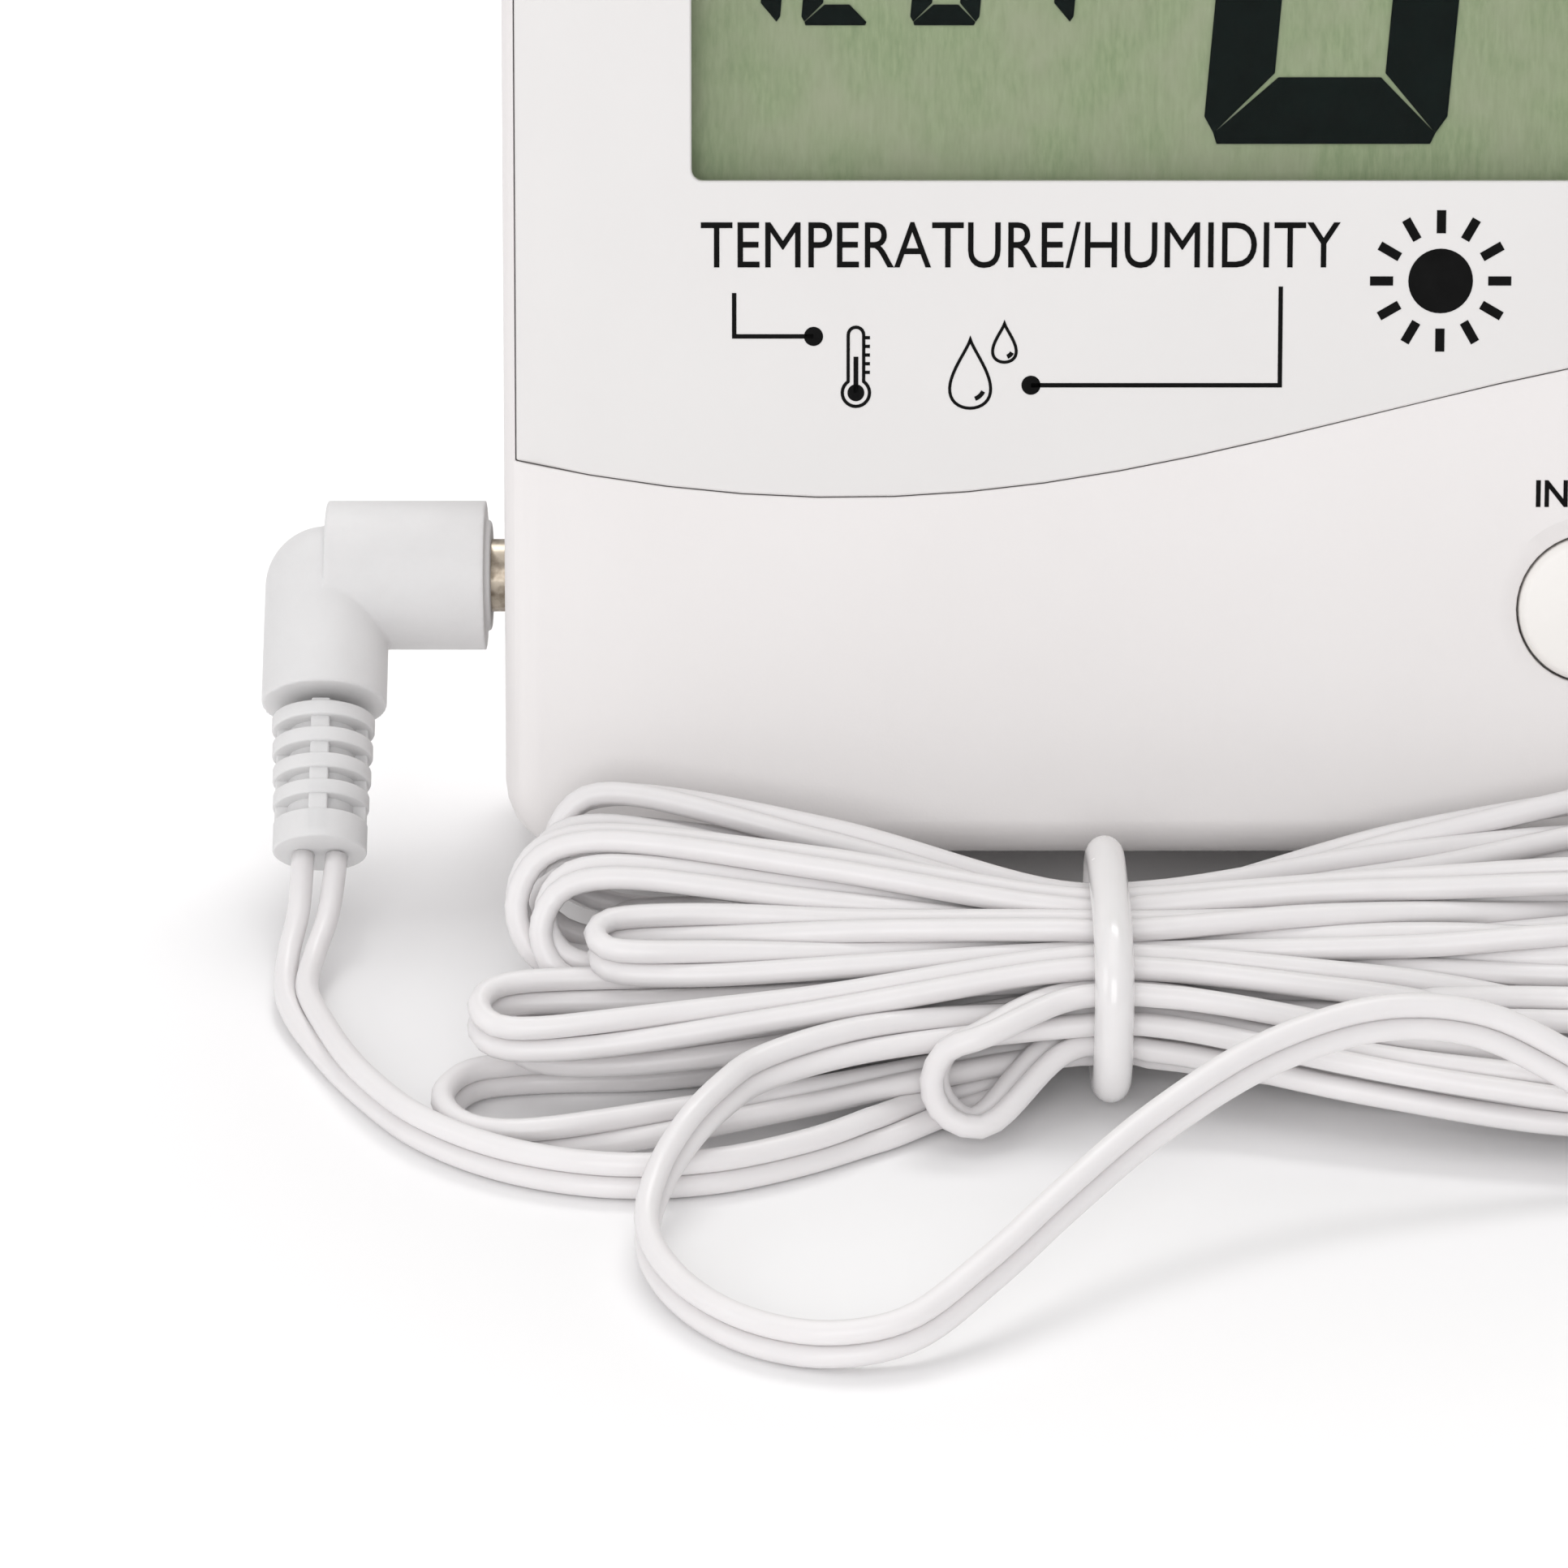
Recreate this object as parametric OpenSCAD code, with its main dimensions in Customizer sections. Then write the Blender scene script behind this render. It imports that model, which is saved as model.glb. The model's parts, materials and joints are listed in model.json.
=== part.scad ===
// Digital maximum-minimum thermometer with a wired probe.
// +X to the right, +Y to the back, +Z up. It stands on its rear bottom edge and a fold-out leg.

/* [Case] */
// Width of the case
case_w = 100; // [90:1:125]
// Height of the case, measured up its face
case_h = 108; // [104:1:130]
// Depth of the case, front to back
case_d = 22; // [22:1:28]
// Radius of the case's corners, seen from the front
corner_r = 4; // [3:0.5:6]
// Radius of the case's front and back edges
edge_r = 2; // [1:0.25:2.5]
// Thickness of the side and back walls
wall = 1.8; // [1.6:0.1:2.2]
// Thickness of the front wall
face_t = 2.2; // [2.2:0.1:2.6]
// Depth at which the front shell meets the rear cover
split_d = 15; // [15:0.5:16]
// Angle at which the case leans back
lean = 18; // [12:1:24]

/* [Face plate and display] */
// Thickness of the face plate
plate_t = 1.2; // [1:0.1:1.4]
// Rim of the front shell left outside the face plate
plate_rim = 0.67; // [0.5:0.05:1]
// Width of the face plate's sloping border
bevel_w = 3.6; // [2:0.2:4.5]
// Drop of the face plate's border at its outer edge
bevel_drop = 0.55; // [0.3:0.05:0.6]
// Lowest height of the wavy seam below the face plate
seam_low = 19.7; // [19:0.1:21]
// Rise of the wavy seam from its lowest to its highest point
seam_rise = 9; // [4:0.5:9]
// Width of the display window
window_w = 79.4; // [60:0.1:79.4]
// Height of the display window
window_h = 61.1; // [50:0.1:61.1]
// Height of the window's lower edge above the case's lower edge
window_s = 36.9; // [36.5:0.1:37.5]

/* [Buttons] */
// Diameter of a button cap
button_dia = 8; // [6:0.1:9.6]
// Height of the buttons' centres above the case's lower edge
button_s = 13.6; // [12.5:0.1:14]
// Distance between two buttons
button_pitch = 14.6; // [13:0.1:15]
// Distance of the first button from the case's left side
button_u = 59.4; // [50:0.1:60]
// How far a button is pressed in
button_travel = 0.6; // [0.3:0.05:0.7]

/* [Stand] */
// Width of the leg
leg_w = 34; // [24:1:40]
// Thickness of the leg
leg_t = 3; // [2.5:0.1:3.2]
// Height of the leg's hinge above the case's lower edge
leg_hinge_s = 50; // [44:0.5:52]
// Angle between the case and the open leg
leg_open = 32; // [28:1:34]
// Radius of the leg's hinge stubs
leg_pin_r = 1; // [0.8:0.05:1.1]

/* [Battery] */
// Diameter of the cell
cell_dia = 10.5; // [8.7:0.1:10.5]
// Length of the cell over its contact
cell_len = 44.5; // [44:0.1:44.5]
// Height of the cell's axis above the case's lower edge
cell_s = 67; // [66:0.5:69]
// Thickness of the battery door
door_t = 1.7; // [1.4:0.1:1.7]
// Radius of the battery door's hinge stubs
door_pin_r = 0.55; // [0.4:0.05:0.6]

/* [Lead] */
// Height of the jack above the case's lower edge
jack_s = 14.2; // [13:0.1:16]
// Radius of the plug's metal sleeve
sleeve_r = 1.25; // [1.25, 1.75]
// Length of the plug's metal end
plug_len = 11; // [10:0.5:12]
// Diameter of the plug's moulded barrel
barrel_dia = 8.4; // [7:0.1:9]
// Width of the twin-core lead
lead_w = 2.5; // [2.2:0.1:2.8]
// Thickness of the twin-core lead
lead_t = 1.3; // [1.1:0.1:1.4]
// Diameter of the probe
probe_dia = 5; // [4:0.1:5.5]

/* [Fits] */
// Radial gap between a moving pin and its hole
pin_gap = 0.05; // [0.03:0.01:0.08]
// Gap round a part that sits in a recess
seat_gap = 0.15; // [0.1:0.05:0.2]
// Gap round a button cap
button_gap = 0.14; // [0.1:0.02:0.3]
// Gap round a part that moves freely
free_gap = 0.3; // [0.25:0.05:0.35]

/* [Hidden] */
$fn = 48;

// Overlap that keeps a cut clear of the face it starts from
over = 1;
// Thickness of a slice inside a hull
slice_t = 0.01;
arc_steps = 6;
edge_steps = 4;

// Placing of the leaning case: its lowest point is on the floor, and the box is centred in Y
case_shift_z = -edge_r * (sin(lean) + cos(lean) - 1);
case_front_y = -(case_d - edge_r) * cos(lean) + edge_r * sin(lean) - edge_r;
case_back_y = -edge_r * cos(lean) + (case_h - edge_r) * sin(lean) + edge_r;
case_shift_y = -(case_front_y + case_back_y) / 2;

// Face plate
plate_gap = 0.06;
plate_seat_d = plate_t + 0.05;
seam_low_u = 0.185 * case_w;
seam_half_u = 0.572 * case_w;
seam_steps = 24;
window_r = 0.6;

// Display stack, front to back
lens_lip = 1.5;
lens_t = 0.9;
glass_margin = 2.5;
glass_t = 0.7;
glass_d = face_t + seat_gap;
glass_ledge = 3.3;
reflector_t = 0.35;
frame_wall = 0.9;
pcb_d = 8;
pcb_t = 1.6;
pcb_back_d = pcb_d + pcb_t;
frame_back_d = pcb_d - 0.05;
zebra_w = window_w - 7.4;
zebra_t = 2;
zebra_s = window_s - 2.7;

// Circuit board and its screws
pcb_w = case_w - 15;
pcb_s0 = 4.5;
pcb_s1 = 54;
board_screw_r = 0.9;
board_head_r = 2;
board_head_t = 1.4;
frame_screw_x = zebra_w / 2 + 3.5;
shell_screw_x = 33 * case_w / 100;
shell_screw_s = 7.5;
shell_post_r = 2.3;

// Room sensors, and the vent slots behind them
sensor_x = -36 * case_w / 100;
sensor_s = 47;
sensor_size = 8;
bead_s = 37;
vent_count = 5;
vent_pitch = 3;
vent_slot = 1.2;
vent_w = 12;

// Buttons and switches
button_x = [for (i = [0:2]) button_u - case_w / 2 + i * button_pitch];
button_proud = 0.25;
flange_t = 0.9;
flange_over = 1;
flange_d = face_t + 0.2;
stem_r = 1.75;
stem_d = flange_d + flange_t;
switch_size = 6;
switch_d = stem_d + 1.2;
switch_bore_d = pcb_d - 1;
dish_w = 1.2;
dish_depth = 0.3;

// Case screws
boss_x = case_w / 2 - 4.3;
boss_s = [8, case_h - 10];
boss_r = 2.4;
case_screw_r = 1.1;
case_head_r = 2.1;
case_head_t = 1.5;
case_head_d = case_d - 2.2;
case_screw_tip_d = 6;

// Leg and its pocket
leg_hinge_d = case_d - 0.2 - leg_t / 2;
leg_foot_r = leg_t / 2;
leg_hinge_z = (case_d - leg_hinge_d) * sin(lean) + leg_hinge_s * cos(lean) + case_shift_z;
leg_len = (leg_hinge_z - leg_foot_r) / cos(leg_open - lean);
leg_heel = 1;
leg_pin_len = 2;
pocket_wall = 3;
pocket_floor_t = 1.6;
// The square heel of the leg meets the pocket's floor just past the open angle
pocket_floor_d = leg_hinge_d - leg_t / 2 * cos(leg_open) - leg_heel * sin(leg_open) - 0.08;
pocket_top_s = leg_hinge_s + leg_heel + leg_t / 2 + free_gap;

// Battery bay and door
bay_half = cell_len / 2 + 2.75;
bay_gap = 0.4;
bay_wall = 2;
bay_d0 = case_d - wall - cell_dia - 2 * bay_gap - 0.15;
cell_d = bay_d0 + bay_gap + cell_dia / 2;
bay_s0 = cell_s - cell_dia / 2 - bay_gap;
bay_s1 = cell_s + cell_dia / 2 + bay_gap;
door_half = bay_half + 0.5;
door_gap = 0.2;
door_edge_r = door_t / 2;
door_axis_d = case_d - 0.05 - door_edge_r;
door_axis_s = bay_s0 - 0.15;
door_top_s = bay_s1 + 0.95;
door_pin_len = 1.2;
contact_t = 0.4;
cell_x1 = bay_half - contact_t;
cell_x0 = cell_x1 - cell_len;
spring_r = 2.6;
spring_wire_r = 0.3;
spring_turns = 4;

// Keyhole for a wall hook
keyhole_s = case_h - 16;
keyhole_r = 4;
keyslot_r = 2.1;
keyslot_len = 6;

// Jack and plug. The plug's column points down and forward from the jack's axis.
jack_d = pcb_back_d + 2.4;
jack_x0 = -case_w / 2;
jack_y = (jack_d - case_d) * cos(lean) + jack_s * sin(lean) + case_shift_y;
jack_z = (case_d - jack_d) * sin(lean) + jack_s * cos(lean) + case_shift_z;
bush_r = sleeve_r + 1.15;
bush_len = 5;
housing_half = 3;
housing_len = 13;
collar_r = 2.05;
collar_gap = 0.1;
collar_len = 1.05;
disc_r = 3.1;
disc_len = 0.32;
column_reach = 10.4;
column_x = jack_x0 - column_reach;
column_r = 3.5;
column_len = 8;
column_top = 2.7;
column_tilt = 49;
relief_r0 = 2.85;
relief_r1 = 2.6;
relief_len = 8.4;
relief_neck = 0.7;
relief_slots = 4;
relief_pitch = 1.55;
relief_slot_t = 0.7;
relief_slot_depth = 1.5;
barrel_x1 = jack_x0 - collar_gap - collar_len - disc_len;
tail = column_len + relief_len + relief_neck;
tail_y = jack_y - tail * sin(column_tilt);
tail_z = jack_z - tail * cos(column_tilt);

// Hank of folded lead, lying in front of the case, and its tie
hank_x0 = -52.5;
hank_x1 = 17;
hank_y0 = -49;
hank_y1 = -28;
hank_h = 12.5;
hank_end_r = (hank_y1 - hank_y0) / 2;
tie_x = -17.5;
tie_w = 2.1;
tie_t = 2;
tie_h = 11.4;
tie_y0 = -47.8;
tie_y1 = -30.6;

// Probe lying on the floor
probe_x0 = 29;
probe_y = -48;
probe_len = 14;
probe_tip_len = 6;
probe_tip_r = probe_dia / 2 - 0.4;
probe_relief_len = 3;

// The lead's routes, from the plug to the hank and from the hank to the probe
route_from_plug = [[column_x, tail_y, tail_z], [-60.6, -27.4, 2.9], [-61.1, -30.4, 1.8],
    [-61.1, -34, 1.4], [-59.4, -39, 1.3], [-57, -44, 1.3], [-53.6, -48.8, 1.3],
    [-49, -52.2, 1.3], [-43.6, -53.8, 1.3], [-38.4, -53.4, 1.3], [-33.6, -51.4, 1.3],
    [-30, hank_y0, 1.3]];
route_to_probe = [[-36, hank_y0, 4.8], [-37.6, -51, 4.7], [-39.4, -53.8, 4.2], [-41, -57, 3],
    [-41.6, -61, 1.9], [-40, -65.4, 1.4], [-36.6, -69.2, 1.3], [-32.6, -70.8, 1.4],
    [-28.6, -70.4, 2], [-24.6, -67.4, 3.6], [-20.6, -63.4, 5.4], [-16, -59, 7.2],
    [-10, -54.8, 9], [-4, -52.2, 9.6], [1, -51.4, 8.8], [5, -51.4, 6.8], [9, -52, 4.4],
    [13, -52.6, 2.4], [17.4, -52.4, 1.4], [21.6, -50.6, 1.6], [probe_x0 - probe_relief_len,
    probe_y, probe_dia / 2]];
lead_sides = 8;
lead_rings = 3;

// Points of a rounded rectangle
function rounded(x0, z0, x1, z1, r) = [
    for (c = [[x1 - r, z1 - r, 0], [x0 + r, z1 - r, 90], [x0 + r, z0 + r, 180], [x1 - r, z0 + r, 270]])
        for (i = [0:arc_steps])
            let (a = c[2] + 90 * i / arc_steps) [c[0] + r * cos(a), c[1] + r * sin(a)]];

// The case's outline, drawn in by a distance
function case_outline(inset) = rounded(-case_w / 2 + inset, inset, case_w / 2 - inset,
    case_h - inset, max(corner_r - inset, 0.5));

// Height of the wavy seam at a distance from the case's left side
function seam(u) = seam_low + seam_rise / 2 * (1 - cos(180 * (u - seam_low_u) / seam_half_u));

// Outline of the face plate: a wavy lower edge and two round upper corners
function plate_outline(inset) = let (half = case_w / 2 - inset, r = max(corner_r - inset, 0.5))
    concat([for (i = [0:seam_steps]) let (x = -half + 2 * half * i / seam_steps)
                [x, seam(x + case_w / 2) + inset - plate_rim]],
           [for (i = [0:arc_steps]) let (a = 90 * i / arc_steps)
                [half - r + r * cos(a), case_h - inset - r + r * sin(a)]],
           [for (i = [0:arc_steps]) let (a = 90 + 90 * i / arc_steps)
                [-half + r + r * cos(a), case_h - inset - r + r * sin(a)]]);

// Points between hand-chosen ones, on a curve through them
function curve_point(p, i, t) = let (a = p[max(i - 1, 0)], b = p[i], c = p[i + 1],
        d = p[min(i + 2, len(p) - 1)])
    0.5 * (2 * b + (c - a) * t + (2 * a - 5 * b + 4 * c - d) * t * t
           + (3 * b - a - 3 * c + d) * t * t * t);
function curve(p, n) = concat([for (i = [0:len(p) - 2]) for (k = [0:n - 1]) curve_point(p, i, k / n)],
                              [p[len(p) - 1]]);
function unit(v) = v / norm(v);

// A tube of w by t along points, standing on its edge
module tube(points, w, t, sides) {
    count = len(points);
    rings = [for (i = [0:count - 1])
        let (dir = unit(points[min(i + 1, count - 1)] - points[max(i - 1, 0)]),
             side = unit(cross([0, 0, 1], dir)), up = cross(dir, side))
        for (k = [0:sides - 1]) let (a = 360 * (k + 0.5) / sides)
            points[i] + side * t / 2 * cos(a) + up * w / 2 * sin(a)];
    walls = [for (i = [0:count - 2]) for (k = [0:sides - 1])
        let (a = i * sides + k, b = i * sides + (k + 1) % sides) [a, a + sides, b + sides, b]];
    polyhedron(rings, concat(walls, [[for (k = [0:sides - 1]) k],
        [for (k = [0:sides - 1]) count * sides - 1 - k]]), convexity = 10);
}

// Carries a piece from the case's own axes (x across, y into the case, z up its face)
module on_case() {
    translate([0, case_shift_y, case_shift_z]) rotate([-lean, 0, 0]) translate([0, -case_d, 0]) children();
}

// A prism between two depths of a shape drawn on the case's face
module deep(d0, d1) {
    translate([0, d1, 0]) rotate([90, 0, 0]) linear_extrude(d1 - d0) children();
}

// A cylinder into the case, between two depths
module deep_rod(x, s, d0, d1, r) {
    translate([x, d0, s]) rotate([-90, 0, 0]) cylinder(r = r, h = d1 - d0);
}

// A cylinder across the case, between two x positions
module cross_rod(x0, x1, d, s, r) {
    translate([x0, d, s]) rotate([0, 90, 0]) cylinder(r = r, h = x1 - x0);
}

// A box on the case's own axes
module block(x0, x1, d0, d1, s0, s1) {
    translate([x0, d0, s0]) cube([x1 - x0, d1 - d0, s1 - s0]);
}

// The whole case as one solid with rounded edges: rings of its outline, front to back
module case_form() {
    profile = [for (i = [0:edge_steps]) let (a = 90 * i / edge_steps)
        [edge_r * (1 - cos(a)), edge_r * (1 - sin(a))]];
    levels = concat(profile, [for (i = [edge_steps:-1:0]) [case_d - profile[i][0], profile[i][1]]]);
    rings = [for (level = levels) for (q = case_outline(level[1])) [q[0], level[0], q[1]]];
    count = len(case_outline(0));
    walls = [for (i = [0:len(levels) - 2]) for (k = [0:count - 1])
        let (a = i * count + k, b = i * count + (k + 1) % count) [a, b, b + count, a + count]];
    polyhedron(rings, concat(walls, [[for (k = [count - 1:-1:0]) k],
        [for (k = [0:count - 1]) len(rings) - count + k]]), convexity = 4);
}

// The display window's outline, grown by a distance
module window_shape(grow) {
    polygon(rounded(-window_w / 2 - grow, window_s - grow, window_w / 2 + grow,
        window_s + window_h + grow, max(window_r + grow, 0.3)));
}

module glass_shape(drop, grow) {
    polygon(rounded(-window_w / 2 - glass_margin - grow, window_s - drop - grow,
        window_w / 2 + glass_margin + grow, window_s + window_h + glass_margin + grow, 0.4));
}

module front_shell() {
    color("whitesmoke") on_case() difference() {
        union() {
            difference() {
                intersection() {
                    case_form();
                    block(-case_w, case_w, -over, split_d, -over, case_h + over);
                }
                deep(face_t, split_d + over) polygon(case_outline(wall));
            }
            for (x = [-boss_x, boss_x]) for (s = boss_s) deep_rod(x, s, face_t - 0.2, split_d, boss_r);
            for (x = [-1, 1]) deep_rod(x * shell_screw_x, shell_screw_s, face_t - 0.2, pcb_d, shell_post_r);
        }
        deep(-over, plate_seat_d) polygon(plate_outline(plate_rim));
        deep(0, face_t + over) window_shape(lens_lip + seat_gap);
        for (x = button_x) {
            deep_rod(x, button_s, -over, face_t + over, button_dia / 2 + button_gap);
            translate([x, 0, button_s]) rotate([-90, 0, 0]) translate([0, 0, -slice_t])
                cylinder(r1 = button_dia / 2 + dish_w, r2 = button_dia / 2 + button_gap, h = dish_depth);
        }
        for (x = [-boss_x, boss_x]) for (s = boss_s)
            deep_rod(x, s, case_screw_tip_d - 0.5, split_d + over, case_screw_r + pin_gap);
        for (x = [-1, 1]) deep_rod(x * shell_screw_x, shell_screw_s, face_t + 0.8, pcb_d + over,
            board_screw_r + pin_gap);
        cross_rod(jack_x0 - over, jack_x0 + wall + over, jack_d, jack_s, bush_r + seat_gap);
    }
}

module face_plate() {
    color("white") on_case() difference() {
        intersection() {
            deep(-over, plate_t) polygon(plate_outline(plate_rim + plate_gap));
            hull() {
                deep(0, slice_t) polygon(case_outline(plate_rim + plate_gap + bevel_w));
                deep(bevel_drop, plate_t) polygon(case_outline(plate_rim + plate_gap));
                deep(0, slice_t) polygon([[-case_w / 2 + plate_rim + plate_gap + bevel_w, 0],
                    [case_w / 2 - plate_rim - plate_gap - bevel_w, 0], [0, case_h / 2]]);
            }
        }
        deep(-over, plate_t + over) window_shape(0);
    }
}

module lcd_window() {
    color([0.9, 0.93, 0.9, 0.3]) on_case() deep(plate_seat_d, plate_seat_d + lens_t) window_shape(lens_lip);
}

module lcd_front_glass() {
    color([0.75, 0.8, 0.72, 0.6]) on_case() deep(glass_d, glass_d + glass_t) glass_shape(glass_ledge, 0);
}

module lcd_rear_glass() {
    color([0.75, 0.8, 0.72, 0.6]) on_case() deep(glass_d + glass_t, glass_d + 2 * glass_t) glass_shape(0.3, 0);
}

module lcd_reflector() {
    color([0.72, 0.75, 0.68]) on_case()
        deep(glass_d + 2 * glass_t, glass_d + 2 * glass_t + reflector_t) glass_shape(0, -0.3);
}

module lcd_frame() {
    color("gainsboro") on_case() difference() {
        deep(glass_d - 0.1, frame_back_d) glass_shape(glass_ledge + 0.2, frame_wall);
        deep(glass_d - over, glass_d + 2 * glass_t + reflector_t + 0.05) glass_shape(glass_ledge, seat_gap);
        deep(0, pcb_d) window_shape(-0.8);
        block(-zebra_w / 2 - seat_gap, zebra_w / 2 + seat_gap, 0, pcb_d,
            zebra_s - seat_gap, zebra_s + zebra_t + seat_gap);
        for (x = [-1, 1]) deep_rod(x * frame_screw_x, zebra_s + zebra_t / 2, frame_back_d - 2.5, pcb_d,
            board_screw_r + pin_gap);
    }
}

module zebra_strip() {
    color("pink") on_case() block(-zebra_w / 2, zebra_w / 2, glass_d + glass_t, pcb_d, zebra_s, zebra_s + zebra_t);
}

module main_pcb() {
    color("seagreen") on_case() difference() {
        deep(pcb_d, pcb_back_d) polygon(rounded(-pcb_w / 2, pcb_s0, pcb_w / 2, pcb_s1, 1.5));
        for (x = [-1, 1]) {
            deep_rod(x * frame_screw_x, zebra_s + zebra_t / 2, pcb_d - over, pcb_back_d + over,
                board_screw_r + seat_gap);
            deep_rod(x * shell_screw_x, shell_screw_s, pcb_d - over, pcb_back_d + over,
                board_screw_r + seat_gap);
            deep_rod(x * boss_x, boss_s[0], pcb_d - over, pcb_back_d + over, boss_r + free_gap);
        }
    }
}

// One screw through the board, with its head on the board's back
module board_screw(x, s, tip_d) {
    deep_rod(x, s, tip_d, pcb_back_d, board_screw_r);
    difference() {
        deep_rod(x, s, pcb_back_d, pcb_back_d + board_head_t, board_head_r);
        for (a = [0, 90]) translate([x, pcb_back_d + board_head_t, s]) rotate([0, a, 0])
            cube([0.5, 1.4, 2.4], center = true);
    }
}

module pcb_screws() {
    color("silver") on_case() for (x = [-1, 1]) {
        board_screw(x * frame_screw_x, zebra_s + zebra_t / 2, frame_back_d - 2.2);
        board_screw(x * shell_screw_x, shell_screw_s, face_t + 1.2);
    }
}

module chip_blob() {
    blob_r = 7;
    blob_h = 1.7;
    dome_r = (blob_r * blob_r + blob_h * blob_h) / (2 * blob_h);
    rim_angle = asin(blob_r / dome_r);
    color("black") on_case() translate([4, pcb_back_d, 44]) rotate([-90, 0, 0])
        rotate_extrude() polygon(concat([[0, 0]], [for (i = [0:8]) let (a = rim_angle * (1 - i / 8))
            [dome_r * sin(a), blob_h - dome_r + dome_r * cos(a)]]));
}

module clock_crystal() {
    color("silver") on_case() {
        cross_rod(16, 24, pcb_back_d + 1.6, 46, 1.5);
        for (s = [45.5, 46.5]) block(13.6, 16, pcb_back_d + 1.4, pcb_back_d + 1.7, s - 0.15, s + 0.15);
    }
}

module chip_components() {
    color("dimgray") on_case() for (i = [0:4]) for (k = [0:1])
        block(-22 + 6 * i, -20 + 6 * i, pcb_back_d, pcb_back_d + 0.6, 22 + 5 * k, 23.2 + 5 * k);
}

module humidity_sensor() {
    color("ivory") on_case() block(sensor_x - sensor_size / 2, sensor_x + sensor_size / 2,
        pcb_back_d, pcb_back_d + 3, sensor_s - sensor_size / 2, sensor_s + sensor_size / 2);
}

module room_thermistor() {
    color("darkorange") on_case() {
        translate([sensor_x, pcb_back_d + 3.6, bead_s]) sphere(r = 1.2, $fn = 32);
        for (m = [-0.6, 0.6]) deep_rod(sensor_x + m, bead_s, pcb_back_d, pcb_back_d + 3.2, 0.25);
    }
}

// A button cap with its flange and its short stem
module button_cap(x) {
    deep_rod(x, button_s, -button_proud, flange_d, button_dia / 2);
    deep_rod(x, button_s, flange_d, stem_d, button_dia / 2 + flange_over);
}

module switch_plunger(x) {
    deep_rod(x, button_s, stem_d, switch_d + 1.2, stem_r);
}

module button_in_out() { color("ivory") on_case() button_cap(button_x[0]); }
module button_max_min() { color("ivory") on_case() button_cap(button_x[1]); }
module button_reset() { color("ivory") on_case() button_cap(button_x[2]); }
module plunger_in_out() { color("dimgray") on_case() switch_plunger(button_x[0]); }
module plunger_max_min() { color("dimgray") on_case() switch_plunger(button_x[1]); }
module plunger_reset() { color("dimgray") on_case() switch_plunger(button_x[2]); }

module switch_housings() {
    color("black") on_case() for (x = button_x) difference() {
        block(x - switch_size / 2, x + switch_size / 2, switch_d, pcb_d,
            button_s - switch_size / 2, button_s + switch_size / 2);
        deep_rod(x, button_s, switch_d - over, switch_bore_d, stem_r + pin_gap);
    }
}

module jack_housing() {
    color("black") on_case() difference() {
        block(jack_x0 + wall + 0.3, jack_x0 + wall + 0.3 + housing_len, pcb_back_d, jack_d + 3,
            jack_s - housing_half, jack_s + housing_half);
        cross_rod(jack_x0, jack_x0 + bush_len, jack_d, jack_s, bush_r);
        cross_rod(jack_x0, jack_x0 + plug_len + 1, jack_d, jack_s, sleeve_r + 0.25);
    }
}

module jack_bush() {
    color("silver") on_case() difference() {
        cross_rod(jack_x0, jack_x0 + bush_len, jack_d, jack_s, bush_r);
        cross_rod(jack_x0 - over, jack_x0 + bush_len + over, jack_d, jack_s, sleeve_r + pin_gap);
    }
}

module jack_contacts() {
    color("gold") on_case() for (x = [jack_x0 + 8, jack_x0 + 12])
        block(x, x + 1.6, jack_d + 3, jack_d + 3.3, jack_s - 2.4, jack_s + 2.4);
}

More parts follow.
